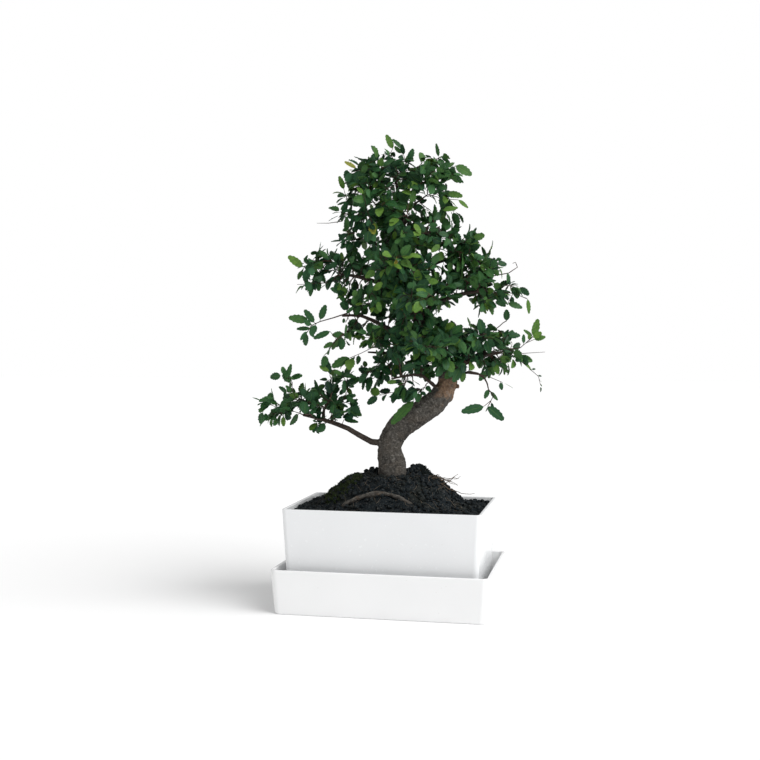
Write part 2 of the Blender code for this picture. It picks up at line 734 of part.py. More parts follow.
def shoot_mesh(name, rings, leaves):
    """The twig as a square bar extruded ring by ring, and its leaves pulled out of its sides."""
    bm = bmesh.new()
    bmesh.ops.create_cube(bm, size=2.0)
    for vert in bm.verts:
        centre, radius = rings[0] if vert.co.z < 0 else rings[1]
        vert.co = centre + Vector((vert.co.x, vert.co.y, 0)) * radius
    bm.normal_update()
    end = max(bm.faces, key=lambda face: face.calc_center_median().z)
    for before, after in zip(rings[1:], rings[2:]):
        end = bmesh.ops.extrude_discrete_faces(bm, faces=[end])["faces"][0]
        for vert in end.verts:
            vert.co = after[0] + (vert.co - before[0]) * (after[1] / before[1])
    bm.normal_update()
    faces = side_faces(bm, rings)
    for leaf in leaves:
        if leaf.step == len(rings) - 1:
            grow_leaf(bm, end, terminal_points(leaf, rings))
        else:
            grow_leaf(bm, faces[leaf.step, leaf.side], leaf_points(leaf, rings))
    return mesh_from(bm, name)


def signed_distance(tree, point):
    place, normal, _, distance = tree.find_nearest(point)
    return distance if (point - place).dot(normal) > 0 else -distance


def seat_shoot(wood, start, heading, turn):
    """Moves the shoot's foot out along its heading until all of it is clear of the wood."""
    spots = ((0, 0), (1, 1), (-1, 1), (-1, -1), (1, -1))
    corners = [turn @ Vector((x, y, 0)) * TWIG_RADIUS for x, y in spots]
    for step in range(400):
        foot = start.xyz + heading * (start.w * 0.5 + step * 0.1 * MM)
        if all(signed_distance(wood, foot + corner) > GAP for corner in corners):
            return foot
    return None


def shoot_seats(branch, path, rng):
    """The shoots' starts and headings: one at the branch's tip, the others to both sides behind it."""
    for index in range(branch.shoots):
        share = 1.0 - 0.60 * index / branch.shoots
        spot = round(share * (len(path) - 1))
        along = (path[spot] - path[spot - 1]).xyz.normalized()
        side = along.cross(Vector((0, 0, 1))).normalized() * (-1 if index % 2 else 1)
        spread = 0.15 if index == 0 else 1.0
        rise = Vector((0, 0, 1)) * rng.uniform(0.15, 0.55)
        yield path[spot], (along * 0.75 + side * spread * rng.uniform(0.6, 1.0) + rise).normalized()


def grow_shoot(name, start, heading, wood, others, rng, steps):
    """Tries turns and small changes of heading until the twig is free and most leaves find room."""
    best = None
    for _ in range(10):
        nudge = Vector((rng.uniform(-0.25, 0.25), rng.uniform(-0.25, 0.25), rng.uniform(-0.2, 0.25)))
        aim = (heading + nudge).normalized()
        turn = aim.to_track_quat("Z", "Y").to_matrix() @ Matrix.Rotation(rng.uniform(-1.1, 1.1), 3, "Z")
        foot = seat_shoot(wood, start, aim, turn)
        if foot is None:
            continue
        place = Matrix.Translation(foot) @ turn.to_4x4()
        rings = twig_frames(rng, steps)
        if not is_free(twig_tree(rings, place, GAP / 2), [wood, *others]):
            continue
        leaves = plan_leaves(rng, rings, place, [wood, *others])
        if best is None or len(leaves) > len(best[2]):
            best = (place, rings, leaves)
        if len(leaves) >= steps - 1:
            break
    return best


def placed_tree(mesh, place):
    """A search tree of a finished shoot where it stands."""
    verts = [place @ vert.co for vert in mesh.vertices]
    return BVHTree.FromPolygons(verts, [tuple(face.vertices) for face in mesh.polygons])


def make_shoots(paths, wood_object, collection, parent, surfaces):
    """Every leafy shoot as its own solid, clear of the wood and of each other."""
    graph = bpy.context.evaluated_depsgraph_get()
    wood = BVHTree.FromObject(wood_object, graph)
    others = []
    index = 0
    for branch in BRANCHES:
        for number in range(1, branch.shoots + 1):
            rng = random.Random(SEED * 1000 + index)
            seats = list(shoot_seats(branch, paths[branch.name], rng))
            start, heading = seats[number - 1]
            steps = LEAVES_A_SHOOT + rng.choice((-1, 0, 1))
            name = f"shoot_{branch.name}_{number}"
            found = grow_shoot(name, start, heading, wood, others, rng, steps)
            index += 1
            if found is None:
                continue
            place, rings, leaves = found
            mesh = shoot_mesh(name, rings, leaves)
            shoot = add_object(name, mesh, collection, parent, surfaces[index % len(surfaces)])
            shoot.location = place.to_translation()
            shoot.rotation_euler = place.to_euler()
            others.append(placed_tree(mesh, place))


def main():
    clear_scene()
    collection = new_collection("bonsai_tree_in_pot")
    cutters = new_collection("cutters")
    base = add_object("bonsai_base", None, collection)
    make_tray(collection, base)
    pot = make_pot(collection, cutters, base)
    soil = make_soil(collection, pot, material("dark_soil", SOIL_BROWN, 0.95))
    moss = material("dark_moss", MOSS_GREEN, 0.9)
    for pad in MOSS_PADS:
        make_moss(pad, collection, cutters, pot, moss)
    tree = add_object("tree_foot", None, collection, pot)
    tree.location.z = collar_height()
    tree.rotation_euler.z = TREE_TURN
    paths = all_paths()
    wood = make_wood(paths, collection, cutters, tree, material("elm_bark", BARK_BROWN, 0.85))
    make_dry_root(collection, cutters, tree, material("dry_root", ROOT_BROWN, 0.9))
    cut_sockets(soil, paths, cutters, tree)
    bpy.context.view_layer.update()
    greens = [material(f"leaf_green_{n}", colour, 0.45) for n, colour in enumerate(LEAF_GREENS, 1)]
    make_shoots(paths, wood, collection, tree, greens)


main()
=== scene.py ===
"""The looks of a bonsai elm in a white pot that stands in a white tray.

Metres, +Z up, and the pot's front faces -Y. The tree has a frame of its own: right, back and up
in millimetres from the soil at the trunk's foot, turned a little from the pot.
"""

import json
import math
import random
from collections import namedtuple

import bpy
import numpy as np
from mathutils import Matrix, Vector
from mathutils.bvhtree import BVHTree

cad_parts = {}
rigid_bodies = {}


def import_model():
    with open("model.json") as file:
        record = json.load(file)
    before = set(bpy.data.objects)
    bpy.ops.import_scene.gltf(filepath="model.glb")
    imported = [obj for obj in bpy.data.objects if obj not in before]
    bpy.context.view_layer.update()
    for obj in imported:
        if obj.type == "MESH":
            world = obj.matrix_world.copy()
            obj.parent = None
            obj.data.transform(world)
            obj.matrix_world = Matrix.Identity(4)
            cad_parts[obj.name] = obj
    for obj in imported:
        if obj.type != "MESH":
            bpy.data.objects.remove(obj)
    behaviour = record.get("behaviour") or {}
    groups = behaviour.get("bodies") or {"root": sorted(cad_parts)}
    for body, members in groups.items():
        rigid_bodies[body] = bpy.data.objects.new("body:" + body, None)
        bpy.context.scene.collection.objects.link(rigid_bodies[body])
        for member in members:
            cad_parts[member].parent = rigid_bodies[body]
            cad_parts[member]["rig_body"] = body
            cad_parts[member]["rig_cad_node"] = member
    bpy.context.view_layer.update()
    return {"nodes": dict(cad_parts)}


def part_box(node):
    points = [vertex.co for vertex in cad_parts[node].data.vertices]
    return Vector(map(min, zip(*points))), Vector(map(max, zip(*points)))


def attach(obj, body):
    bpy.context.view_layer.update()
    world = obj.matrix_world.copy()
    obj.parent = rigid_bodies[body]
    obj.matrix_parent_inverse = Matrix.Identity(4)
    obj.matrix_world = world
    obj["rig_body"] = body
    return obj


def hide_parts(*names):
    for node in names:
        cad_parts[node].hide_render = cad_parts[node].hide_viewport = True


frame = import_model()

MM = 0.001
SEED = 7
TREE_TURN = math.radians(12)
# The soil at the trunk's foot lies this far above the pot's rim.
COLLAR_RISE = 0.028

# Tree ------------------------------------------------------------------------------------------

# The trunk's middle line: right, back, up.
TRUNK_LINE = (
    (1, 0, -30),
    (0, 0, 0),
    (-1, 0, 15),
    (-3, -1, 29),
    (0, -2, 41),
    (9, -3, 53),
    (22, -3, 62),
    (38, -2, 72),
    (51, 0, 85),
    (57, 2, 100),
    (55, 4, 115),
    (47, 5, 131),
    (36, 5, 147),
    (26, 4, 164),
    (18, 2, 182),
    (13, 0, 202),
    (11, -2, 224),
    (10, -2, 245),
    (9, 0, 263),
    (7, 2, 279),
    (3, 0, 303),
)

# Pads of foliage: the middle (right, back, up), the half sizes and how many twigs fill each.
Pad = namedtuple("Pad", "right back up wide deep tall twigs")
PADS = (
    Pad(-5, 0, 315, 26, 26, 17, 14),
    Pad(39, 0, 311, 21, 24, 14, 11),
    Pad(33, -6, 300, 12, 14, 8, 3),
    Pad(-22, 0, 303, 21, 26, 15, 9),
    Pad(0, 0, 284, 44, 42, 18, 21),
    Pad(-34, 0, 268, 12, 16, 7, 3),
    Pad(-50, 0, 273, 11, 14, 8, 2),
    Pad(57, 0, 274, 9, 12, 6, 1),
    Pad(45, -3, 324, 8, 10, 5, 2),
    Pad(-42, -2, 288, 10, 12, 7, 3),
    Pad(47, -4, 289, 9, 10, 5, 2),
    Pad(2, 0, 250, 50, 50, 21, 27),
    Pad(-42, -4, 243, 9, 12, 9, 4),
    Pad(62, 2, 239, 22, 28, 16, 12),
    Pad(47, -6, 255, 9, 12, 8, 3),
    Pad(66, 0, 222, 16, 22, 10, 7),
    Pad(92, 4, 216, 23, 22, 12, 9),
    Pad(106, 2, 193, 21, 18, 10, 8),
    Pad(94, -2, 183, 15, 16, 6, 5),
    Pad(77, -2, 199, 24, 24, 13, 10),
    Pad(-68, -4, 216, 21, 22, 10, 8),
    Pad(-82, -4, 201, 9, 14, 5, 2),
    Pad(-44, 0, 212, 24, 32, 15, 12),
    Pad(-50, -2, 186, 10, 16, 8, 3),
    Pad(-7, 0, 213, 34, 52, 22, 23),
    Pad(28, -8, 204, 22, 46, 18, 14),
    Pad(-3, 0, 178, 45, 52, 17, 23),
    Pad(40, -8, 184, 9, 24, 14, 4),
    Pad(54, -22, 192, 9, 8, 7, 3),
    Pad(-42, -4, 155, 11, 18, 8, 3),
    Pad(-52, -2, 139, 10, 14, 5, 1),
    Pad(2, -2, 146, 38, 50, 19, 22),
    Pad(56, 0, 142, 22, 36, 15, 12),
    Pad(94, 0, 139, 31, 26, 12, 13),
    Pad(120, -5, 125, 9, 12, 9, 3),
    Pad(90, 0, 119, 22, 22, 9, 7),
    Pad(6, -6, 116, 24, 30, 12, 9),
    Pad(38, -2, 117, 14, 34, 10, 6),
    Pad(24, -18, 90, 8, 9, 7, 2),
    Pad(-20, -8, 106, 9, 12, 6, 3),
    Pad(10, -24, 96, 8, 8, 6, 2),
    Pad(-76, -6, 79, 34, 26, 11, 12),
    Pad(-115, -6, 71, 17, 18, 9, 7),
    Pad(-106, -6, 99, 7, 8, 7, 1),
    Pad(-56, -8, 97, 16, 16, 8, 4),
    Pad(-68, -18, 60, 13, 14, 5, 3),
    Pad(-49, -8, 68, 13, 13, 7, 3),
    Pad(57, -18, 117, 11, 7, 8, 3),
    Pad(48, -18, 131, 12, 7, 8, 3),
    Pad(39, -18, 146, 12, 7, 8, 3),
    Pad(29, -18, 161, 12, 7, 8, 3),
    Pad(21, -18, 178, 12, 7, 8, 3),
    Pad(14, -18, 196, 12, 7, 9, 3),
    Pad(12, -18, 214, 12, 7, 9, 3),
    Pad(10, -17, 232, 12, 7, 9, 3),
    Pad(9, -14, 250, 12, 6, 9, 3),
    Pad(8, -12, 268, 12, 6, 8, 3),
    Pad(74, -14, 120, 12, 6, 7, 3),
    Pad(50, -18, 184, 12, 6, 6, 3),
    Pad(32, -64, 134, 20, 20, 9, 6),
    Pad(36, 66, 148, 20, 20, 9, 6),
    Pad(24, -64, 178, 20, 19, 9, 6),
    Pad(-4, 64, 194, 20, 19, 9, 6),
    Pad(-4, -48, 220, 16, 14, 8, 4),
    Pad(20, 46, 246, 16, 14, 8, 4),
    Pad(-96, 28, 78, 14, 12, 6, 3),
)


soil_low, soil_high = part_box("soil")
pot_low, pot_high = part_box("pot")
tray_low, tray_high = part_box("tray")
COLLAR = pot_high.z + COLLAR_RISE
TREE_PLACE = Matrix.Translation((0, 0, COLLAR)) @ Matrix.Rotation(TREE_TURN, 4, "Z")


def in_tree(right, back, up):
    """Where a point of the tree's frame lies in the scene."""
    return TREE_PLACE @ (Vector((right, back, up)) * MM)


# Small tools -----------------------------------------------------------------------------------


def select_only(*items):
    bpy.ops.object.select_all(action="DESELECT")
    for item in items:
        item.select_set(True)
    bpy.context.view_layer.objects.active = items[0]


def edit(item, kind="VERT"):
    select_only(item)
    bpy.ops.object.mode_set(mode="EDIT")
    bpy.ops.mesh.select_mode(type=kind)


def stop_editing():
    bpy.ops.object.mode_set(mode="OBJECT")


def pick(item, test, kind="VERT"):
    """Selects the verts, edges or faces that pass the test, and leaves edit mode on."""
    edit(item, kind)
    bpy.ops.mesh.select_all(action="DESELECT")
    stop_editing()
    parts = {"VERT": item.data.vertices, "EDGE": item.data.edges, "FACE": item.data.polygons}[kind]
    for part in parts:
        part.select = test(part)
    bpy.ops.object.mode_set(mode="EDIT")


def use_modifier(item, kind, **settings):
    made = item.modifiers.new(kind.lower(), kind)
    for key, value in settings.items():
        setattr(made, key, value)
    select_only(item)
    bpy.ops.object.modifier_apply(modifier=made.name)


def settle(item):
    """Puts the piece's place, turn and size in its mesh."""
    select_only(item)
    bpy.ops.object.transform_apply(location=True, rotation=True, scale=True)


def smooth(item, degrees):
    select_only(item)
    bpy.ops.object.shade_smooth_by_angle(angle=math.radians(degrees))


def tree_of(item):
    """The item's surface, ready to be searched."""
    return BVHTree.FromObject(item, bpy.context.evaluated_depsgraph_get())


def copy_of(item, name):
    made = item.copy()
    made.data = item.data.copy()
    made.name = name
    made.data.name = name
    bpy.context.scene.collection.objects.link(made)
    return made


def joined(items, name):
    select_only(*items)
    bpy.ops.object.join()
    made = bpy.context.object
    made.name = name
    made.data.name = name
    settle(made)
    return made


def hand_in(piece, slot, *nodes):
    """The piece rides on the only body and stands for the plain nodes it hides."""
    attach(piece, "root")
    if nodes:
        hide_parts(*nodes)


def cad_copy(node, name):
    """A free copy of a plain node, its triangles joined along their edges."""
    made = copy_of(frame["nodes"][node], name)
    made.parent = None
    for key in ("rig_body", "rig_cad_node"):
        if key in made:
            del made[key]
    made.data.materials.clear()
    pick(made, lambda part: True)
    bpy.ops.mesh.remove_doubles(threshold=0.00001)
    stop_editing()
    return made


def cord_shape(name, paths):
    """Thin closed tubes along paths of (place, radius), as one mesh."""
    curve = bpy.data.curves.new(name, "CURVE")
    curve.dimensions = "3D"
    curve.bevel_depth = 1.0
    curve.bevel_resolution = 1
    curve.use_fill_caps = True
    for path in paths:
        spline = curve.splines.new("POLY")
        spline.points.add(len(path) - 1)
        for point, (place, radius) in zip(spline.points, path):
            point.co = (*place, 1.0)
            point.radius = radius
    holder = bpy.data.objects.new(name, curve)
    bpy.context.scene.collection.objects.link(holder)
    select_only(holder)
    bpy.ops.object.convert(target="MESH")
    return bpy.context.object


# Materials -------------------------------------------------------------------------------------


class Shade:
    """A value that changes over a surface, for sums such as 1 - mask."""

    def __init__(self, finish, socket):
        self.finish = finish
        self.socket = socket

    def __add__(self, other):
        return self.finish.math("ADD", self, other)

    def __sub__(self, other):
        return self.finish.math("SUBTRACT", self, other)

    def __rsub__(self, other):
        return self.finish.math("SUBTRACT", other, self)

    def __mul__(self, other):
        return self.finish.math("MULTIPLY", self, other)

    __radd__ = __add__
    __rmul__ = __mul__


class Finish:
    """A material and the nodes that make it."""

    def __init__(self, name, **uniform):
        self.material = bpy.data.materials.new(name)
        self.material.use_nodes = True
        self.tree = self.material.node_tree
        self.shader = self.tree.nodes["Principled BSDF"]
        for key, value in uniform.items():
            self.feed(key.replace("_", " "), value)

    def feed(self, name, value, node=None):
        socket = (node or self.shader).inputs[name]
        if isinstance(value, Shade):
            self.tree.links.new(value.socket, socket)
        elif isinstance(value, tuple) and len(value) == 3 and len(socket.default_value) == 4:
            socket.default_value = (*value, 1.0)
        else:
            socket.default_value = value

    def node(self, kind, settings=None, inputs=None, output=0):
        made = self.tree.nodes.new("ShaderNode" + kind)
        for key, value in (settings or {}).items():
            if key == "stops":
                self.fill_ramp(made.color_ramp, value)
            else:
                setattr(made, key, value)
        for key, value in (inputs or {}).items():
            self.feed(key, value, made)
        return Shade(self, made.outputs[output])

    def fill_ramp(self, ramp, stops):
        while len(ramp.elements) < len(stops):
            ramp.elements.new(1.0)
        for element, (place, colour) in zip(ramp.elements, stops):
            element.position = place
            element.color = (*colour, 1.0)

    def math(self, operation, *values):
        return self.node("Math", {"operation": operation}, dict(enumerate(values)))

    def ramp(self, value, *stops):
        """Colours that follow a value through stops of (value, colour)."""
        return self.node("ValToRGB", {"stops": stops}, {"Fac": value})

    def step(self, value, low, high):
        """0 below low, 1 above high and smooth between them."""
        settings = {"interpolation_type": "SMOOTHSTEP"}
        inputs = {"Value": value, "From Min": low, "From Max": high}
        return self.node("MapRange", settings, inputs)

    def mix(self, share, first, second):
        return self.node("Mix", {"data_type": "RGBA"}, {0: share, 6: first, 7: second}, output=2)

    def place(self):
        return self.node("TexCoord", output="Object")

    def stretch(self, vector, x, y, z):
        return self.node("Mapping", None, {"Vector": vector, "Scale": (x, y, z)})

    def noise(self, vector, scale, detail=3.0, rough=0.5, warp=0.0):
        inputs = {"Vector": vector, "Scale": scale, "Detail": detail}
        return self.node("TexNoise", None, {**inputs, "Roughness": rough, "Distortion": warp})

    def cells(self, vector, scale, feature="F1"):
        inputs = {"Vector": vector, "Scale": scale}
        return self.node("TexVoronoi", {"feature": feature}, inputs, "Distance")

    def attribute(self, name, output="Fac"):
        return self.node("Attribute", {"attribute_name": name}, output=output)

    def bump(self, height, distance, strength=1.0):
        inputs = {"Height": height, "Distance": distance, "Strength": strength}
        self.feed("Normal", self.node("Bump", None, inputs))


def leaf_finish(name, deep, fresh, young):
    """Leaf green with a pale midrib, side veins, mottling and a duller underside."""
    leaf = Finish(name, Specular_IOR_Level=0.22)
    tone = leaf.attribute("tone")
    under = leaf.attribute("underside")
    across, along = (leaf.node("SeparateXYZ", None, {0: leaf.node("UVMap")}, axis) for axis in "XY")
    away = leaf.math("ABSOLUTE", across - 0.5)
    rib = 1 - leaf.step(away, 0.015, 0.06)
    wave = leaf.math("ABSOLUTE", leaf.math("FRACT", along * 8 - away * 7) - 0.5)
    vein = 1 - leaf.step(wave, 0.02, 0.14)
    mottle = leaf.noise(leaf.place(), 420, 3)
    green = leaf.ramp(tone, (0.0, deep), (0.45, fresh), (0.8, young), (1.0, AUTUMN))
    green = leaf.mix(leaf.step(mottle, 0.25, 0.75) * 0.45, green, tuple(c * 0.55 for c in fresh))
    green = leaf.mix(rib * 0.16 + vein * 0.07, green, tuple(c * 1.2 + 0.01 for c in young))
    green = leaf.mix(under * 0.55, green, tuple(c * 1.25 + 0.02 for c in fresh))
    leaf.feed("Base Color", green)
    leaf.feed("Roughness", 0.36 + mottle * 0.22 + under * 0.25)
    leaf.bump(mottle * 0.4 - rib - vein * 0.5, 0.00025, 0.8)
    return leaf.material


def twig_finish():
    twig = Finish("twig_bark", Specular_IOR_Level=0.3)
    grain = twig.noise(twig.place(), 900, 4, 0.6)
    patches = twig.noise(twig.place(), 90, 2)
    brown = twig.ramp(grain, (0.25, (0.010, 0.008, 0.007)), (0.75, (0.050, 0.032, 0.024)))
    red = twig.ramp(grain, (0.25, (0.030, 0.012, 0.008)), (0.75, (0.095, 0.046, 0.027)))
    twig.feed("Base Color", twig.mix(twig.step(patches, 0.4, 0.62), brown, red))
    twig.feed("Roughness", 0.55 + grain * 0.3)
    twig.bump(grain, 0.0002)
    return twig.material


def bark_finish():
    """Grey-brown elm bark: fine cracks along the grain, pale scales, and warm patches that are
    partly bare bark and partly painted light.
    """
    bark = Finish("elm_bark", Specular_IOR_Level=0.25)
    grain = bark.attribute("grain", "Vector")
    girth = bark.attribute("girth")
    lit_warm_side = bark.attribute("warm")
    long_grain = bark.stretch(grain, 1, 1, 0.6)
    cross_grain = bark.stretch(grain, 0.3, 0.3, 1)
    fibres = bark.noise(long_grain, 460, 6, 0.7, 0.5)
    cracks = bark.cells(long_grain, 330, "DISTANCE_TO_EDGE")
    ticks = bark.noise(cross_grain, 780, 3, 0.55)
    blotch = bark.noise(grain, 75, 4, 0.6)
    stain = bark.noise(grain, 130, 5, 0.65)
    colour = bark.ramp(
        fibres,
        (0.3, (0.030, 0.027, 0.023)),
        (0.5, (0.072, 0.066, 0.058)),
        (0.7, (0.135, 0.126, 0.112)),
    )
    colour = bark.mix(bark.step(blotch, 0.42, 0.68) * 0.5, colour, (0.10, 0.082, 0.064))
    colour = bark.mix(bark.step(stain, 0.5, 0.64) * 0.75, colour, (0.020, 0.018, 0.016))
    # Partly painted light: the warm patch on the trunk's right side is bare bark in part, and in
    # part the lamp's light from the right painted into the colour.
    warm = bark.step(blotch + lit_warm_side * 0.32, 0.62, 0.80) * bark.step(lit_warm_side, 0.05, 0.6)
    tan = bark.ramp(fibres, (0.3, (0.12, 0.072, 0.042)), (0.7, (0.36, 0.23, 0.145)))
    colour = bark.mix(warm * 0.85, colour, tan)
    crack_line = (1 - bark.step(cracks, 0.0, 0.06)) * bark.step(blotch, 0.38, 0.6)
    colour = bark.mix(crack_line * 0.5, colour, (0.016, 0.013, 0.010))
    colour = bark.mix(bark.step(ticks, 0.55, 0.68) * 0.42, colour, (0.30, 0.28, 0.25))
    thin = 1 - bark.step(girth, 0.12, 0.42)
    dark_brown = bark.ramp(fibres, (0.3, (0.014, 0.009, 0.007)), (0.7, (0.062, 0.040, 0.028)))
    colour = bark.mix(thin * 0.85, colour, dark_brown)
    bark.feed("Base Color", colour)
    bark.feed("Roughness", 0.74 + fibres * 0.22)
    bark.bump(fibres + ticks * 0.6 - crack_line * 0.5, 0.0009, 0.9)
    return bark.material


def soil_finish():
    soil = Finish("dark_soil", Specular_IOR_Level=0.12)
    place = soil.place()
    crumbs = soil.noise(place, 520, 5, 0.65)
    lumps = soil.noise(place, 70, 3)
    fibres = soil.noise(soil.stretch(place, 1, 0.2, 1), 900, 2, 0.5, 1.5)
    colour = soil.ramp(
        crumbs,
        (0.3, (0.002, 0.004, 0.006)),
        (0.55, (0.011, 0.016, 0.019)),
        (0.72, (0.085, 0.084, 0.078)),
    )
    colour = soil.mix(soil.step(lumps, 0.5, 0.7) * 0.35, colour, (0.020, 0.020, 0.012))
    colour = soil.mix(soil.step(fibres, 0.62, 0.70) * 0.6, colour, (0.10, 0.085, 0.065))
    soil.feed("Base Color", colour)
    soil.feed("Roughness", 0.86 + crumbs * 0.12)
    soil.bump(crumbs, 0.0012)
    return soil.material


def moss_finish(name, middle, tip, patch):
    """Moss with painted shade in its hollows, where the fine relief is lowest, and dry or sooty
    patches.
    """
    moss = Finish(name, Specular_IOR_Level=0.2)
    place = moss.place()
    fine = moss.noise(place, 700, 4, 0.6)
    wide = moss.noise(place, 60, 2)
    # The lowest stop is painted shade: the low spots of the fine relief are coloured nearly black.
    green = moss.ramp(fine, (0.3, (0.006, 0.010, 0.004)), (0.55, middle), (0.78, tip))
    moss.feed("Base Color", moss.mix(moss.step(wide, 0.45, 0.65) * 0.6, green, patch))
    moss.feed("Roughness", 0.85 + fine * 0.12)
    moss.bump(fine, 0.0008)
    return moss.material


def root_finish(name, dark, light):
    root = Finish(name, Specular_IOR_Level=0.25)
    place = root.place()
    fibre = root.noise(root.stretch(place, 0.35, 1, 1), 650, 5, 0.6)
    stain = root.noise(place, 110, 3)
    colour = root.ramp(fibre, (0.28, dark), (0.74, light))
    stained = tuple(c * 0.35 for c in dark)
    root.feed("Base Color", root.mix(root.step(stain, 0.5, 0.7) * 0.5, colour, stained))
    root.feed("Roughness", 0.72 + fibre * 0.2)
    root.bump(fibre, 0.0004)
    return root.material


def glaze_finish(name, colour, rough):
    """White glaze: a faint ripple, a little uneven tint and fine specks."""
    glaze = Finish(name, Specular_IOR_Level=0.5, Coat_Roughness=0.12)
    place = glaze.place()
    wide = glaze.noise(place, 14, 2)
    fine = glaze.noise(place, 240, 3)
    specks = glaze.cells(place, 95)
    tint = glaze.mix(glaze.step(wide, 0.35, 0.7) * 0.5, colour, tuple(c * 0.955 for c in colour))
    tint = glaze.mix((1 - glaze.step(specks, 0.03, 0.07)) * 0.22, tint, (0.55, 0.52, 0.48))
    glaze.feed("Base Color", tint)
    glaze.feed("Roughness", rough + fine * 0.08)
    glaze.feed("Coat Weight", 0.25 + wide * 0.2)
    glaze.bump(wide * 3 + fine * 0.12, 0.00035, 0.5)
    return glaze.material


# A leaf about to fall.
AUTUMN = (0.46, 0.30, 0.035)
# Each green from its deepest tone through its usual one to that of a young leaf.
LEAF_GREENS = {
    "leaf_green_1": ((0.0014, 0.018, 0.017), (0.019, 0.086, 0.029), (0.145, 0.285, 0.034)),
    "leaf_green_2": ((0.0018, 0.021, 0.017), (0.026, 0.104, 0.031), (0.170, 0.315, 0.038)),
    "leaf_green_3": ((0.0024, 0.025, 0.018), (0.034, 0.122, 0.033), (0.190, 0.340, 0.042)),
}
LEAF_FINISHES = {name: leaf_finish(name, *greens) for name, greens in LEAF_GREENS.items()}
TWIG = twig_finish()


# Leaves ----------------------------------------------------------------------------------------

LEAF_ROWS = 10
LEAF_THICKNESS = 0.022
# Between its teeth the leaf has this share of its width. The teeth point towards its tip.
NOTCH_WIDTH = 0.86
TOOTH_REACH = 0.035


def leaf_width(share):
    """Half width of a leaf at a share of its length, as a share of its widest."""
    return math.sin(math.pi * share**0.86) ** 0.58 if 0 < share < 1 else 0.0


def leaf_shape(name, slim, fold, arch, twist):
    """A saw-edged elm leaf one unit long: folded along its midrib, arched and a little twisted.

    slim is its half width. Top and underside meet in a sharp edge.
    """
    bpy.ops.object.select_all(action="DESELECT")
    cells = {"x_subdivisions": 2, "y_subdivisions": LEAF_ROWS}
    bpy.ops.mesh.primitive_grid_add(size=1, location=(0, 0.5, 0), **cells)
    leaf = bpy.context.object
    leaf.name = name
    settle(leaf)
    for row in range(LEAF_ROWS + 1):
        share = row / LEAF_ROWS
        tooth = row % 2 == 1
        half = slim * leaf_width(share) * (1.0 if tooth else NOTCH_WIDTH)
        side_lift = fold * half
        back = (0, share, 0)
        pick(leaf, lambda v: abs(v.co.y - share) < 0.01)
        bpy.ops.transform.resize(value=(max(half * 2, 0.0005), 1, 1), center_override=back)
        bpy.ops.transform.rotate(value=twist * share, orient_axis="Y", center_override=back)
        bpy.ops.transform.translate(value=(0, 0, -arch * share * share))
        stop_editing()
        if 0 < row < LEAF_ROWS:
            pick(leaf, lambda v: abs(v.co.y - share) < 0.01 and abs(v.co.x) > half * 0.3)
            bpy.ops.transform.translate(value=(0, TOOTH_REACH if tooth else 0, side_lift))
            stop_editing()
    pick(leaf, lambda v: True)
    bpy.ops.mesh.remove_doubles(threshold=0.01)
    stop_editing()
    use_modifier(leaf, "SOLIDIFY", thickness=LEAF_THICKNESS, offset=-1)
    pick(leaf, lambda v: abs(v.co.x) > 0.012 or v.co.y < 0.01 or v.co.y > 0.99)
    bpy.ops.mesh.remove_doubles(threshold=LEAF_THICKNESS + 0.004)
    stop_editing()
    pick(leaf, lambda v: True)
    bpy.ops.mesh.normals_make_consistent(inside=False)
    stop_editing()
    smooth(leaf, 55)
    under = leaf.data.attributes.new("underside", "FLOAT", "FACE")
    under.data.foreach_set("value", [1.0 if f.normal.z < 0 else 0.0 for f in leaf.data.polygons])
    leaf.data.attributes.new("tone", "FLOAT", "FACE")
    leaf.data.materials.append(LEAF_FINISHES["leaf_green_1"])
    return leaf


LEAVES = [
    leaf_shape("leaf_flat", 0.31, 0.12, 0.10, 0.1),
    leaf_shape("leaf_arched", 0.34, 0.22, 0.24, -0.25),
    leaf_shape("leaf_broad", 0.39, 0.16, 0.14, 0.2),
    leaf_shape("leaf_folded", 0.36, 0.34, 0.18, 0.3),
    leaf_shape("leaf_slim", 0.24, 0.16, 0.08, -0.2),
    leaf_shape("leaf_curled", 0.36, 0.24, 0.36, 0.45),
    leaf_shape("leaf_straight", 0.26, 0.20, -0.06, 0.1),
]
LONE_SHAPES = (
    leaf_shape("lone_slim", 0.18, 0.16, 0.10, 0.1),
    leaf_shape("lone_straight", 0.23, 0.22, -0.06, -0.1),
    leaf_shape("lone_wide", 0.27, 0.14, 0.14, 0.15),
)


def place_leaf(foot, tip, facing, tone, shape):
    """A copy of a leaf from foot to tip with its upper side turned to facing."""
    leaf = copy_of(shape, "leaf")
    along = tip - foot
    length = along.length
    along.normalize()
    across = along.cross(facing).normalized()
    up = across.cross(along).normalized()
    turn = Matrix((across, along, up)).transposed().to_4x4()
    grow = Matrix.Diagonal((length, length, length, 1))
    leaf.matrix_world = Matrix.Translation(foot) @ turn @ grow
    count = len(leaf.data.polygons)
    leaf.data.attributes["tone"].data.foreach_set("value", [tone] * count)
    return leaf


# Shoots ----------------------------------------------------------------------------------------

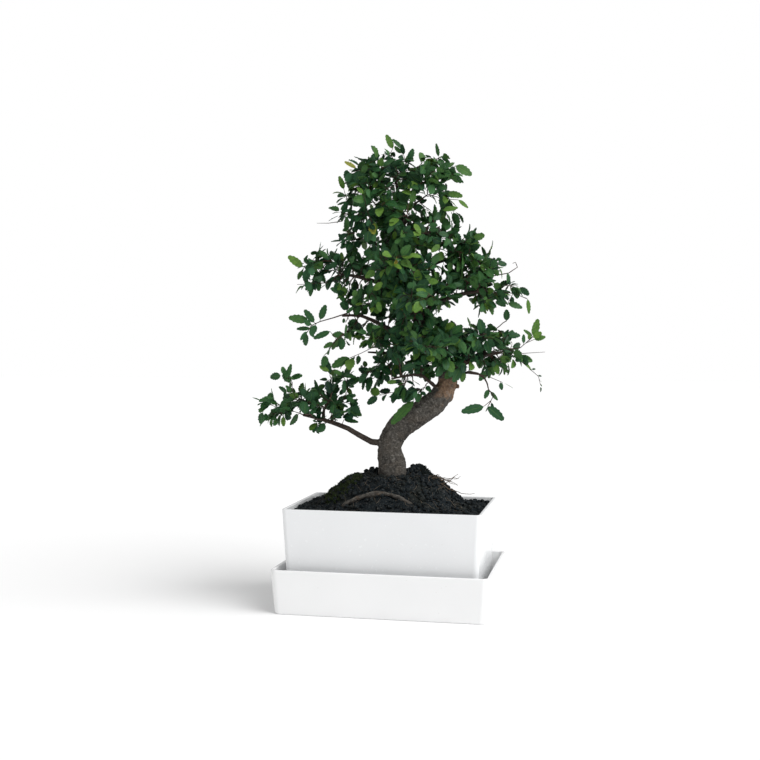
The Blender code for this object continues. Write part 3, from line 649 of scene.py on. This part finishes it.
# Twigs that stand out of the pads: thickness and leaf length in millimetres, the bare share of the
# twig, then its points.
LONG_TWIGS = (
    (0.75, 7, 0.6, ((97, -18, 90), (102, -19, 84), (97, -19, 74))),
    (
        0.80,
        14,
        0.55,
        ((-45, -12, 168), (-60, -13, 163), (-74, -14, 159), (-83, -14, 155), (-87, -14, 148)),
    ),
    (0.60, 14, 0.5, ((-40, -10, 152), (-53, -11, 145), (-61, -12, 136), (-68, -12, 126))),
    (0.60, 15, 0.7, ((2, -6, 142), (-14, -8, 136), (-32, -10, 127), (-44, -11, 122))),
    (0.75, 12, 0.7, ((98, -6, 128), (116, -6, 131), (130, -6, 132), (142, -6, 142))),
    (0.55, 7, 0.98, ((112, -5, 129), (125, -5, 126), (140, -5, 127), (156, -5, 128))),
    (
        0.60,
        6,
        0.35,
        ((108, -6, 132), (122, -7, 125), (133, -7, 117), (149, -8, 103), (151, -8, 94)),
    ),
    (
        0.70,
        9,
        0.98,
        ((98, 0, 205), (108, 0, 207), (119, 0, 209), (128, 0, 215), (126, 0, 220), (123, 0, 219)),
    ),
    (0.60, 9, 0.98, ((108, -4, 190), (123, -5, 188), (137, -5, 183))),
    (0.60, 9, 0.98, ((-66, -4, 199), (-80, -4, 198), (-98, -4, 197))),
    (0.50, 9, 0.98, ((-52, 0, 262), (-66, 0, 260), (-78, 0, 260))),
    (0.70, 12, 0.9, ((62, -8, 108), (78, -10, 106), (95, -12, 104), (112, -12, 97))),
    (0.60, 15, 0.6, ((30, -10, 82), (14, -18, 86), (-2, -20, 87), (-14, -20, 84))),
)

# Single leaves that catch the eye: foot, tip, tone.
LONE_LEAVES = (
    ((92, -20, 73), (69, -22, 67), 0.42),
    ((96, -20, 73), (112, -22, 59), 0.40),
    ((21, -26, 79), (-3, -30, 57), 0.55),
    ((97, -18, 90), (93, -20, 81), 0.46),
    ((99, -18, 88), (106, -20, 79), 0.50),
    ((14, -22, 85), (-3, -24, 82), 0.35),
    ((144, -6, 144), (148, -8, 162), 0.62),
    ((143, -6, 144), (134, -8, 151), 0.55),
    ((145, -6, 141), (156, -8, 144), 0.58),
    ((138, -5, 182), (140, -6, 167), 0.66),
    ((118, -5, 178), (133, -6, 174), 0.50),
    ((-92, -5, 215), (-107, -6, 226), 0.66),
    ((-91, -5, 220), (-87, -6, 227), 0.20),
    ((0, 0, 336), (-7, -1, 350), 0.66),
    ((10, 0, 336), (0, -1, 346), 0.48),
    ((64, -4, 318), (81, -5, 309), 0.52),
    ((56, -8, 290), (71, -9, 286), 0.60),
    ((67, -6, 283), (77, -7, 275), 0.66),
    ((51, -10, 272), (66, -11, 276), 0.64),
    ((-50, -6, 294), (-55, -7, 307), 0.66),
    ((-47, -14, 251), (-47, -15, 265), 0.50),
    ((-80, -14, 158), (-90, -15, 171), 0.34),
    ((-74, -14, 161), (-68, -15, 176), 0.36),
    ((-86, -14, 160), (-106, -15, 163), 0.50),
    ((-84, -14, 152), (-98, -15, 152), 0.38),
    ((-64, -12, 149), (-81, -13, 142), 0.40),
    ((-44, -11, 122), (-63, -12, 114), 0.48),
    ((-108, -10, 101), (-104, -11, 116), 0.36),
    ((-105, -10, 101), (-92, -11, 104), 0.40),
    ((-55, -12, 106), (-37, -13, 103), 0.38),
    ((-75, -12, 114), (-65, -13, 109), 0.68),
    ((-112, -10, 62), (-112, -11, 52), 0.66),
    ((-50, -10, 59), (-35, -11, 57), 0.34),
)

# How closely the crown is filled, and the room between leaves along a twig.
FULLNESS = 2.6
LEAF_SPACING = 0.0039
LONG_TWIG_SPACING = 0.006
CROWN_LEAF = (0.0115, 0.0158)
# A leaf's stalk, how far it spreads from its twig in radians, and how often a leaf has turned.
STALK = (0.0012, 0.0022)
SPREAD = (0.6, 1.15)
TURNED = 0.04
# Twigs on the wood are thicker than those that fork from a twig. A twig forks from an earlier one
# where that is this much nearer than the wood.
TWIG_ON_WOOD = 0.00065
TWIG_ON_TWIG = 0.00045
FORK_NEARER = 0.85
# A twig shorter than the first of these is drawn out to the second.
SHORTEST_TWIG = 0.009
DRAWN_OUT_TWIG = 0.010
TWIG_STRETCH = 0.005
# A single leaf longer than this is a slim one, and one this near a twig has a stalk to it.
LONG_LEAF = 0.03
LONE_STALK = 0.02

WOOD_TREE = tree_of(frame["nodes"]["trunk_and_branches"])
SHOOT_NAMES = [name for name in sorted(frame["nodes"]) if name.startswith("shoot_")]
SHOOT_MIDDLES = {name: (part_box(name)[0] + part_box(name)[1]) / 2 for name in SHOOT_NAMES}
Shoot = namedtuple("Shoot", "leaves twigs")
shoots = {name: Shoot([], []) for name in SHOOT_NAMES}
rng = random.Random(SEED)
forks = []
TOWARDS_FRONT = TREE_PLACE.to_3x3() @ Vector((0, -1, 0.35))


def nearest_shoot(place):
    return min(SHOOT_NAMES, key=lambda name: (SHOOT_MIDDLES[name] - place).length)


def outward_from_trunk(place):
    local = TREE_PLACE.inverted() @ place
    line = min(TRUNK_LINE, key=lambda point: abs(point[2] * MM - local.z))
    flat = Vector((local.x - line[0] * MM, local.y - line[1] * MM, 0))
    return (TREE_PLACE.to_3x3() @ flat).normalized()


def bent_line(start, end, lift, steps):
    """A twig's line from start to end, bowed by lift and a little crooked."""
    middle = (start + end) / 2 + Vector((0, 0, lift))
    found = []
    for step in range(steps + 1):
        t = step / steps
        point = start * (1 - t) ** 2 + middle * 2 * t * (1 - t) + end * t**2
        sway = 0.0009 * math.sin(math.pi * t)
        point += Vector([rng.uniform(-sway, sway) for _ in range(3)])
        found.append(point)
    return found


def leaf_on_twig(place, heading, side, share, length):
    """One leaf on the twig's side, turned to the light outside the crown."""
    outward = outward_from_trunk(place)
    wild = Vector([rng.gauss(0, 1) for _ in range(3)])
    facing = (Vector((0, 0, 0.45)) + outward * 0.55 + wild * 0.55).normalized()
    sideways = heading.cross(facing).normalized() * side
    spread = rng.uniform(*SPREAD)
    aim = heading * math.cos(spread) + sideways * math.sin(spread) + Vector((0, 0, -0.12))
    aim = (aim + wild * 0.12).normalized()
    stalk = place + aim * rng.uniform(*STALK)
    tone = 0.02 + 0.50 * rng.random() + 0.20 * share**4 + (0.26 if rng.random() < TURNED else 0)
    return stalk, stalk + aim * length, facing, tone


def along_path(points, share):
    at = share * (len(points) - 1)
    low = min(int(at), len(points) - 2)
    return points[low].lerp(points[low + 1], at - low), (points[low + 1] - points[low]).normalized()


def add_twig(points, thick, leaf_size, bare=0.15, spacing=LEAF_SPACING):
    """A twig along points with leaves on alternate sides and one at its end."""
    shoot = shoots[nearest_shoot(points[-1])]
    last = len(points) - 1
    shoot.twigs.append([(point, thick * (1 - 0.6 * n / last)) for n, point in enumerate(points)])
    length = sum((b - a).length for a, b in zip(points, points[1:]))
    number = round(length * (1 - bare) / spacing)
    side = rng.choice((-1, 1))
    for index in range(number):
        share = bare + (1 - bare) * (index + 0.5) / number
        place, heading = along_path(points, share)
        size = leaf_size * rng.uniform(0.62, 1.18) * (1 - 0.2 * share)
        foot, tip, facing, tone = leaf_on_twig(place, heading, side, share, size)
        side = -side
        shoot.leaves.append(place_leaf(foot, tip, facing, tone, rng.choice(LEAVES)))
        shoot.twigs.append([(place, thick * 0.5), (foot, thick * 0.4)])
    if bare < 0.95:
        heading = (points[-1] - points[-2]).normalized()
        foot, tip, facing, tone = leaf_on_twig(points[-1], heading, 0, 1.0, leaf_size * 0.85)
        shoot.leaves.append(place_leaf(foot, tip, facing, tone, rng.choice(LEAVES)))
    forks.extend(points[1:-1])


def pad_points(pad):
    """Points in a pad, more often near its outside than in its middle."""
    found = []
    while len(found) < round(pad.twigs * FULLNESS):
        ball = Vector([rng.uniform(-1, 1) for _ in range(3)])
        if 0.3 < ball.length < 1:
            right = pad.right + pad.wide * ball.x
            back = pad.back + pad.deep * ball.y
            up = pad.up + pad.tall * ball.z
            found.append(in_tree(right, back, up))
    return found


def nearest_fork(place):
    """Where a twig to this place starts: on the wood or on an earlier twig."""
    on_wood, _, _, away = WOOD_TREE.find_nearest(place)
    if forks:
        gaps = np.linalg.norm(np.array(forks) - np.array(place), axis=1)
        best = int(gaps.argmin())
        if gaps[best] < away * FORK_NEARER:
            return forks[best], True
    return on_wood, False


def fill_crown():
    """Fills the pads from the wood outwards, so that twigs fork from twigs."""
    ends = [place for pad in PADS for place in pad_points(pad)]
    ends.sort(key=lambda place: WOOD_TREE.find_nearest(place)[3])
    for end in ends:
        start, on_twig = nearest_fork(end)
        reach = end - start
        if reach.length < SHORTEST_TWIG:
            heading = (reach.normalized() + outward_from_trunk(end) * 0.3).normalized()
            end = start + heading * DRAWN_OUT_TWIG
            reach = end - start
        steps = max(3, round(reach.length / TWIG_STRETCH))
        thick = TWIG_ON_TWIG if on_twig else TWIG_ON_WOOD
        add_twig(bent_line(start, end, reach.length * 0.10, steps), thick, rng.uniform(*CROWN_LEAF))


def add_long_twigs():
    """The long bare twigs and the single leaves, which have their places."""
    for thick, leaf_size, bare, points in LONG_TWIGS:
        path = [in_tree(*point) for point in points]
        fine = [point for a, b in zip(path, path[1:]) for point in (a, a.lerp(b, 0.5))]
        fine.append(path[-1])
        add_twig(fine, thick * MM, leaf_size * MM, bare, LONG_TWIG_SPACING)
    for foot, tip, tone in LONE_LEAVES:
        foot, tip = in_tree(*foot), in_tree(*tip)
        facing = TOWARDS_FRONT + Vector([rng.uniform(-0.35, 0.35) for _ in range(3)])
        shape = LONE_SHAPES[0] if (tip - foot).length > LONG_LEAF else rng.choice(LONE_SHAPES)
        leaf = place_leaf(foot, tip, facing, tone, shape)
        shoot = shoots[nearest_shoot(foot)]
        shoot.leaves.append(leaf)
        start, _ = nearest_fork(foot)
        if (start - foot).length < LONE_STALK:
            shoot.twigs.append([(start, 0.0004), (foot, 0.0003)])


def finish_shoots():
    """Each shoot's twigs and leaves become one piece that stands for its plain node."""
    for name, shoot in shoots.items():
        if not shoot.leaves:
            middle = SHOOT_MIDDLES[name]
            start = WOOD_TREE.find_nearest(middle)[0]
            path = bent_line(start, middle, 0.002, 4)
            tip = path[-1] + Vector((0, 0, 0.012))
            shoot.leaves.append(place_leaf(path[-1], tip, TOWARDS_FRONT, 0.3, rng.choice(LEAVES)))
            shoot.twigs.append([(point, 0.0005) for point in path])
        twigs = cord_shape(name + "_twigs", shoot.twigs)
        twigs.data.materials.append(TWIG)
        green = f"leaf_green_{1 + SHOOT_NAMES.index(name) % 3}"
        piece = joined([twigs, *shoot.leaves], name + "_leafy")
        for slot in piece.material_slots:
            if slot.material.name.startswith("leaf_green"):
                slot.material = LEAF_FINISHES[green]
        hand_in(piece, green, name)
    for leaf in (*LEAVES, *LONE_SHAPES):
        bpy.data.objects.remove(leaf)


fill_crown()
add_long_twigs()
finish_shoots()


# Wood ------------------------------------------------------------------------------------------


# The trunk at its thickest, and the size of the skin's finest facets.
TRUNK_THICKNESS = 0.024
BARK_DETAIL = 0.0009
# A warm patch on the trunk's right side, as a place in the tree's frame and a reach: partly bare
# bark, partly painted light from the lamp on the right.
LIT_WARM_PLACE = (62, -6, 92)
LIT_WARM_REACH = 0.022
# One root arches out of the mound below this height and in front of this depth.
ROOT_TOP = 0.006
ROOT_BACK = -0.017


def cloud(name, size, depth):
    made = bpy.data.textures.new(name, "CLOUDS")
    made.noise_scale = size
    made.noise_depth = depth
    return made


def displace(item, texture, strength, group):
    settings = {"texture": texture, "texture_coords": "LOCAL", "vertex_group": group}
    use_modifier(item, "DISPLACE", strength=strength, mid_level=0.5, **settings)


def places_of(item):
    found = np.empty(len(item.data.vertices) * 3)
    item.data.vertices.foreach_get("co", found)
    return found.reshape(-1, 3)


def local_girth(item):
    """How thick the wood is under each vertex, as a share of the trunk's thickness."""
    tree = tree_of(item)
    found = []
    for vert in item.data.vertices:
        inwards = -vert.normal
        hit = tree.ray_cast(vert.co + inwards * 0.00005, inwards)
        found.append(min((hit[3] or 0.0) / TRUNK_THICKNESS, 1.0))
    return found


def grain_places(item):
    """Each vertex's place across the trunk and along it, for grain that follows the bends."""
    line = np.array([in_tree(*point) for point in TRUNK_LINE])
    spans = [np.linspace(a, b, 12, endpoint=False) for a, b in zip(line, line[1:])]
    fine = np.concatenate(spans)
    tangent = np.gradient(fine, axis=0)
    tangent /= np.linalg.norm(tangent, axis=1)[:, None]
    along = np.concatenate([[0], np.cumsum(np.linalg.norm(np.diff(fine, axis=0), axis=1))])
    places = places_of(item)
    nearest = np.array([((fine - p) ** 2).sum(1).argmin() for p in places])
    offset = places - fine[nearest]
    deep = np.array(TREE_PLACE.to_3x3() @ Vector((0, 1, 0)))
    depth = offset @ deep
    across = (offset * np.cross(tangent[nearest], deep)).sum(1)
    lengthwise = along[nearest] + (offset * tangent[nearest]).sum(1)
    return np.stack([depth, across, lengthwise], axis=1)


def arched_root(item):
    """1 on the root that arches out of the mound in front of the trunk, 0 on all other wood."""
    to_tree = TREE_PLACE.inverted()
    local = [to_tree @ vert.co for vert in item.data.vertices]
    return [1.0 if place.z < ROOT_TOP and place.y < ROOT_BACK else 0.0 for place in local]


def grow_wood():
    """Trunk and branches as one skin, with bark relief that is finer on thinner wood."""
    wood = cad_copy("trunk_and_branches", "trunk_and_branches_bark")
    wood.data.remesh_voxel_size = BARK_DETAIL
    select_only(wood)
    bpy.ops.object.voxel_remesh()
    use_modifier(wood, "SMOOTH", factor=0.6, iterations=5)
    girth = local_girth(wood)
    root = arched_root(wood)
    girth = [max(value, 0.6 * share) for value, share in zip(girth, root)]
    group = wood.vertex_groups.new(name="thick")
    for index, value in enumerate(girth):
        group.add([index], max(0.0, value - 0.1), "REPLACE")
    displace(wood, cloud("swellings", 0.011, 1), 0.0034, "thick")
    displace(wood, cloud("scales", 0.0030, 3), 0.0019, "thick")
    wood.vertex_groups.clear()
    grain = wood.data.attributes.new("grain", "FLOAT_VECTOR", "POINT")
    grain.data.foreach_set("vector", grain_places(wood).ravel())
    thick = wood.data.attributes.new("girth", "FLOAT", "POINT")
    thick.data.foreach_set("value", girth)
    # The warm patch is part bare bark and part painted light from the right. The arched root is
    # made warmer too.
    away = ((places_of(wood) - np.array(in_tree(*LIT_WARM_PLACE))) ** 2).sum(1)
    warm = wood.data.attributes.new("warm", "FLOAT", "POINT")
    warm.data.foreach_set("value", np.exp(-away / LIT_WARM_REACH**2) + 0.33 * np.array(root))
    select_only(wood)
    bpy.ops.object.shade_smooth()
    wood.data.materials.append(bark_finish())
    hand_in(wood, "elm_bark", "trunk_and_branches")


grow_wood()


# Soil, moss and roots --------------------------------------------------------------------------


# The soil meets the walls this far below the pot's rim, and no crumb lies lower than the second.
SOIL_EDGE = 0.006
LOWEST_CRUMB = 0.012
# A small heap beside the trunk: its place in the tree's frame, its height and its reach.
HEAP_PLACE = (21, 4, 0)
HEAP_HEIGHT = 0.006
HEAP_REACH = 0.009
CRUMB_COUNT = 1500
CRUMB_SIZE = 0.0036
TUFT_COUNT = 520
TUFT_SIZE = 0.0042
ROOTLET_COUNT = 90
ROOTLET_THICKNESS = 0.00022
DRY_ROOT_COUNT = 14
DRY_ROOT_THICKNESS = 0.0005
ROOT_POINTS = 9


def ground_at(x, y):
    """The soil's surface under a point, and the way it faces."""
    hit = SOIL_TREE.ray_cast(Vector((x, y, 0.3)), Vector((0, 0, -1)))
    return hit[0], hit[1]


def lay_soil():
    """The mound, its top rough with lumps and crumbs."""
    soil = cad_copy("soil", "soil_mound")
    edge = pot_high.z - SOIL_EDGE
    pick(soil, lambda f: f.normal.z > 0.2 and f.center.z > edge - 0.004, "FACE")
    bpy.ops.mesh.subdivide(number_cuts=4)
    stop_editing()
    group = soil.vertex_groups.new(name="top")
    for vert in soil.data.vertices:
        if vert.normal.z > 0.2 and vert.co.z > edge - 0.006:
            group.add([vert.index], 1.0, "REPLACE")
    heap = in_tree(*HEAP_PLACE)
    # The list comes first, because a moved vertex changes the way its neighbours face.
    for vert in [vert for vert in soil.data.vertices if vert.normal.z > 0.2]:
        away = math.hypot(vert.co.x - heap.x, vert.co.y - heap.y)
        vert.co.z += HEAP_HEIGHT * math.exp(-((away / HEAP_REACH) ** 2))
    displace(soil, cloud("lumps", 0.007, 2), 0.0035, "top")
    displace(soil, cloud("crumbs", 0.0022, 2), 0.0016, "top")
    soil.vertex_groups.clear()
    smooth(soil, 60)
    soil.data.materials.append(soil_finish())
    hand_in(soil, "dark_soil", "soil")
    return soil


def crumb_shape(name, jitter, seed):
    bpy.ops.object.select_all(action="DESELECT")
    bpy.ops.mesh.primitive_cube_add(size=1)
    crumb = bpy.context.object
    crumb.name = name
    edit(crumb)
    bpy.ops.mesh.select_all(action="SELECT")
    bpy.ops.mesh.subdivide(number_cuts=1)
    bpy.ops.transform.tosphere(value=0.8)
    bpy.ops.transform.vertex_random(offset=jitter, seed=seed)
    stop_editing()
    smooth(crumb, 45)
    return crumb


def scatter(shapes, name, number, size, inside, sink, seed):
    """Copies of small shapes that lie on the soil where inside(x, y) allows."""
    dice = random.Random(seed)
    made = []
    while len(made) < number:
        x = dice.uniform(soil_low.x, soil_high.x) * 0.97
        y = dice.uniform(soil_low.y, soil_high.y) * 0.97
        chance = dice.random()
        place, facing = ground_at(x, y)
        if place is None or place.z < pot_high.z - LOWEST_CRUMB or not inside(x, y, chance):
            continue
        item = copy_of(dice.choice(shapes), "bit")
        across = size * dice.uniform(0.45, 1.25)
        turn = facing.to_track_quat("Z", "Y").to_matrix().to_4x4()
        turn = turn @ Matrix.Rotation(dice.uniform(0, 6.28), 4, "Z")
        deep = across * dice.uniform(0.6, 1)
        tall = across * dice.uniform(0.5, 0.95)
        grow = Matrix.Diagonal((across, deep, tall, 1))
        item.matrix_world = Matrix.Translation(place + facing * across * sink) @ turn @ grow
        made.append(item)
    return joined(made, name)


SOIL = lay_soil()
SOIL_TREE = tree_of(SOIL)
CRUMBS = [crumb_shape(f"crumb_{n}", 0.16, n) for n in range(3)]


def near_middle(x, y, chance):
    """Crumbs are rarer towards the pot's walls."""
    reach = math.hypot(x / 0.095, y / 0.062)
    return chance < 1.15 - reach * 0.75


crumbs = scatter(CRUMBS, "soil_crumbs", CRUMB_COUNT, CRUMB_SIZE, near_middle, 0.28, 11)
crumbs.data.materials.append(SOIL.data.materials[0])
hand_in(crumbs, "dark_soil")
for crumb in CRUMBS:
    bpy.data.objects.remove(crumb)


def moss_sprig():
    """A tuft of four small cones that lean apart."""
    cones = []
    for lean, turn, tall in ((0.1, 0.0, 1.0), (0.55, 0.4, 0.8), (0.6, 2.5, 0.75), (0.6, 4.6, 0.7)):
        bpy.ops.object.select_all(action="DESELECT")
        bpy.ops.mesh.primitive_cone_add(vertices=5, radius1=0.32, depth=tall)
        cone = bpy.context.object
        aim = Matrix.Rotation(turn, 4, "Z") @ Matrix.Rotation(lean, 4, "X")
        cone.matrix_world = aim @ Matrix.Translation((0, 0, tall / 2))
        cones.append(cone)
    sprig = joined(cones, "moss_sprig")
    smooth(sprig, 60)
    return sprig


def grow_moss():
    """Green moss on the left, sooty moss on the right and at the back."""
    green = moss_finish(
        "dark_moss", (0.020, 0.034, 0.010), (0.055, 0.075, 0.020), (0.028, 0.022, 0.011)
    )
    sooty = moss_finish(
        "sooty_moss", (0.009, 0.014, 0.013), (0.022, 0.032, 0.024), (0.006, 0.009, 0.011)
    )
    sprig = moss_sprig()
    for number, pad_name in enumerate(("moss_left", "moss_right", "moss_back")):
        low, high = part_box(pad_name)
        middle = (low + high) / 2
        reach = (high.x - low.x) / 2

        def on_pad(x, y, chance, middle=middle, reach=reach):
            away = math.hypot(x - middle.x, y - middle.y) / reach
            return chance < 1.2 - away**2

        name = pad_name + "_tufts"
        tufts = scatter([sprig], name, TUFT_COUNT, TUFT_SIZE, on_pad, 0.1, 30 + number)
        tufts.data.materials.append(green if pad_name == "moss_left" else sooty)
        hand_in(tufts, "dark_moss", pad_name)
    bpy.data.objects.remove(sprig)


grow_moss()


def strand(start, heading, length, rise, radius, dice):
    """A root that wanders over the soil. rise lifts its end off the ground."""
    x, y = start.xy
    path = []
    for step in range(ROOT_POINTS):
        t = step / (ROOT_POINTS - 1)
        place, _ = ground_at(x, y)
        if place is None:
            break
        lift = rise * t**1.5 + radius * 0.5 + 0.001 * math.sin(math.pi * t)
        path.append((place + Vector((0, 0, lift)), radius * (1 - 0.6 * t)))
        heading += dice.uniform(-0.5, 0.5)
        x += math.cos(heading) * length / ROOT_POINTS
        y += math.sin(heading) * length / ROOT_POINTS
    return path


def root_piece(name, paths, root, *nodes):
    piece = cord_shape(name, [path for path in paths if len(path) > 2])
    piece.data.materials.append(root)
    hand_in(piece, "dry_root", *nodes)


def lay_roots():
    """Fine rootlets all over the soil, and a bundle of dry roots that stands up on the right."""
    dice = random.Random(5)
    paths = []
    for _ in range(ROOTLET_COUNT):
        start = in_tree(dice.uniform(-60, 62), dice.uniform(-46, 10), 0)
        heading = dice.uniform(-1.2, 1.2)
        length = dice.uniform(0.010, 0.026)
        paths.append(strand(start, heading, length, 0.0015, ROOTLET_THICKNESS, dice))
    pale = root_finish("pale_rootlet", (0.045, 0.036, 0.027), (0.20, 0.165, 0.125))
    root_piece("rootlets", paths, pale)
    paths = []
    for _ in range(DRY_ROOT_COUNT):
        start = in_tree(dice.uniform(30, 50), dice.uniform(-16, -6), 0)
        heading = TREE_TURN + dice.uniform(-0.5, 0.5)
        rise = dice.uniform(0.004, 0.031)
        length = dice.uniform(0.020, 0.042)
        paths.append(strand(start, heading, length, rise, DRY_ROOT_THICKNESS, dice))
    dry = root_finish("dry_root", (0.035, 0.025, 0.018), (0.17, 0.125, 0.085))
    root_piece("dry_root_bundle", paths, dry, "dry_root")


lay_roots()


# Pot and tray ----------------------------------------------------------------------------------


# Each wall leans in towards its foot by a share of its height.
POT_SIZE = (0.2, 0.135, 0.0995)
POT_LEAN = 0.054
TRAY_HEIGHT = 0.044
TRAY_LEAN = 0.066
DRAIN_RADIUS = 0.006
DRAIN_PLACES = (-0.045, 0.045)


def foot_under(width, depth, height, lean):
    """The width and depth of a foot whose walls lean in on all four sides."""
    return width - 2 * lean * height, depth - 2 * lean * height


def make_box(name, low, high, wall, corner, foot_size, rim):
    """A tapered open box: rounded corners, a wall all round and a softened rim and foot."""
    size = high - low
    middle = (low + high) / 2
    foot_wide, foot_deep = foot_size
    bpy.ops.object.select_all(action="DESELECT")
    bpy.ops.mesh.primitive_cube_add(size=1, location=middle, scale=size)
    box = bpy.context.object
    box.name = name
    settle(box)
    pick(box, lambda v: v.co.z < low.z + 0.001)
    foot = (foot_wide / size.x, foot_deep / size.y, 1)
    bpy.ops.transform.resize(value=foot, center_override=middle)
    stop_editing()
    heights = [vert.co.z for vert in box.data.vertices]
    pick(box, lambda e: abs(heights[e.vertices[0]] - heights[e.vertices[1]]) > 0.01, "EDGE")
    bpy.ops.mesh.bevel(offset=corner, segments=8, affect="EDGES")
    stop_editing()
    pick(box, lambda f: f.normal.z > 0.9, "FACE")
    bpy.ops.mesh.inset(thickness=wall)
    bpy.ops.mesh.extrude_region_move(TRANSFORM_OT_translate={"value": (0, 0, wall - size.z)})
    shrink_wide = (foot_wide - 2 * wall) / (size.x - 2 * wall)
    shrink_deep = (foot_deep - 2 * wall) / (size.y - 2 * wall)
    bpy.ops.transform.resize(value=(shrink_wide, shrink_deep, 1), center_override=middle)
    stop_editing()
    edges = {"limit_method": "ANGLE", "angle_limit": math.radians(50)}
    use_modifier(box, "BEVEL", width=rim, segments=4, **edges)
    smooth(box, 40)
    return box


def cut_drain(box, x, floor):
    """A round drain hole through the pot's floor."""
    bpy.ops.object.select_all(action="DESELECT")
    round_bar = {"vertices": 32, "radius": DRAIN_RADIUS, "depth": 0.02}
    bpy.ops.mesh.primitive_cylinder_add(location=(x, 0, floor), **round_bar)
    drill = bpy.context.object
    use_modifier(box, "BOOLEAN", operation="DIFFERENCE", solver="EXACT", object=drill)
    bpy.data.objects.remove(drill)
    smooth(box, 40)


pot_foot = foot_under(*POT_SIZE, POT_LEAN)
pot = make_box("glazed_pot", pot_low, pot_high, 0.0032, 0.0055, pot_foot, 0.0009)
for drain_place in DRAIN_PLACES:
    cut_drain(pot, drain_place, pot_low.z)
pot.data.materials.append(glaze_finish("white_glaze", (0.83, 0.84, 0.85), 0.22))
hand_in(pot, "white_glaze", "pot")
tray_size = tray_high - tray_low
tray_foot = foot_under(tray_size.x, tray_size.y, TRAY_HEIGHT, TRAY_LEAN)
tray = make_box("deep_tray", tray_low, tray_high, 0.0036, 0.008, tray_foot, 0.0012)
tray.data.materials.append(glaze_finish("white_tray", (0.89, 0.893, 0.895), 0.2))
hand_in(tray, "white_tray", "tray")


# Studio ----------------------------------------------------------------------------------------


def stand_floor():
    bpy.ops.object.select_all(action="DESELECT")
    bpy.ops.mesh.primitive_plane_add(size=14)
    floor = bpy.context.object
    floor.name = "floor"
    paper = Finish("floor_paper", Roughness=0.9, Specular_IOR_Level=0.1)
    haze = paper.noise(paper.place(), 2, 2)
    paper.feed("Base Color", paper.mix(haze * 0.1, (0.94, 0.94, 0.94), (0.92, 0.92, 0.92)))
    floor.data.materials.append(paper.material)


# The room's light on the tree, the brightness of its white wall, and the lamp.
ROOM_LIGHT = 0.55
WALL_LIGHT = 1.0
LAMP_LIGHT = 2.6
LAMP_SPREAD = math.radians(50)
LAMP_FROM = (0.75, -0.25, 0.75)
# Where the onlooker stands: turned to the right, a little above the tree's middle.
VIEW_TURN = 0.2094
VIEW_DIP = 0.0320
VIEW_AWAY = 1.1638
VIEW_LEFT = 0.01313
VIEW_HEIGHT = 0.26797
LENS = 53.55


def set_studio():
    """A bright room: even white light, and one wide soft lamp from the right."""
    world = bpy.data.worlds.new("studio")
    bpy.context.scene.world = world
    world.use_nodes = True
    tree = world.node_tree
    room = tree.nodes["Background"]
    wall = tree.nodes.new("ShaderNodeBackground")
    for white, strength in ((room, ROOM_LIGHT), (wall, WALL_LIGHT)):
        white.inputs["Color"].default_value = (1, 1, 1, 1)
        white.inputs["Strength"].default_value = strength
    seen = tree.nodes.new("ShaderNodeLightPath")
    both = tree.nodes.new("ShaderNodeMixShader")
    tree.links.new(seen.outputs["Is Camera Ray"], both.inputs[0])
    tree.links.new(room.outputs[0], both.inputs[1])
    tree.links.new(wall.outputs[0], both.inputs[2])
    tree.links.new(both.outputs[0], tree.nodes["World Output"].inputs[0])
    lamp = bpy.data.lights.new("soft_lamp", "SUN")
    lamp.energy = LAMP_LIGHT
    lamp.angle = LAMP_SPREAD
    holder = bpy.data.objects.new("soft_lamp", lamp)
    bpy.context.scene.collection.objects.link(holder)
    holder.rotation_mode = "QUATERNION"
    holder.rotation_quaternion = Vector(LAMP_FROM).to_track_quat("Z", "Y")


def set_camera():
    right = Vector((math.cos(VIEW_TURN), math.sin(VIEW_TURN), 0))
    towards = Vector((math.sin(VIEW_TURN), -math.cos(VIEW_TURN), 0))
    forward = -towards * math.cos(VIEW_DIP) - Vector((0, 0, math.sin(VIEW_DIP)))
    camera = bpy.data.cameras.new("camera")
    camera.sensor_width = 36
    camera.lens = LENS
    holder = bpy.data.objects.new("camera", camera)
    bpy.context.scene.collection.objects.link(holder)
    holder.location = towards * VIEW_AWAY - right * VIEW_LEFT + Vector((0, 0, VIEW_HEIGHT))
    holder.rotation_mode = "QUATERNION"
    holder.rotation_quaternion = forward.to_track_quat("-Z", "Y")
    bpy.context.scene.camera = holder


stand_floor()
set_studio()
set_camera()
bpy.context.scene.view_settings.view_transform = "Standard"
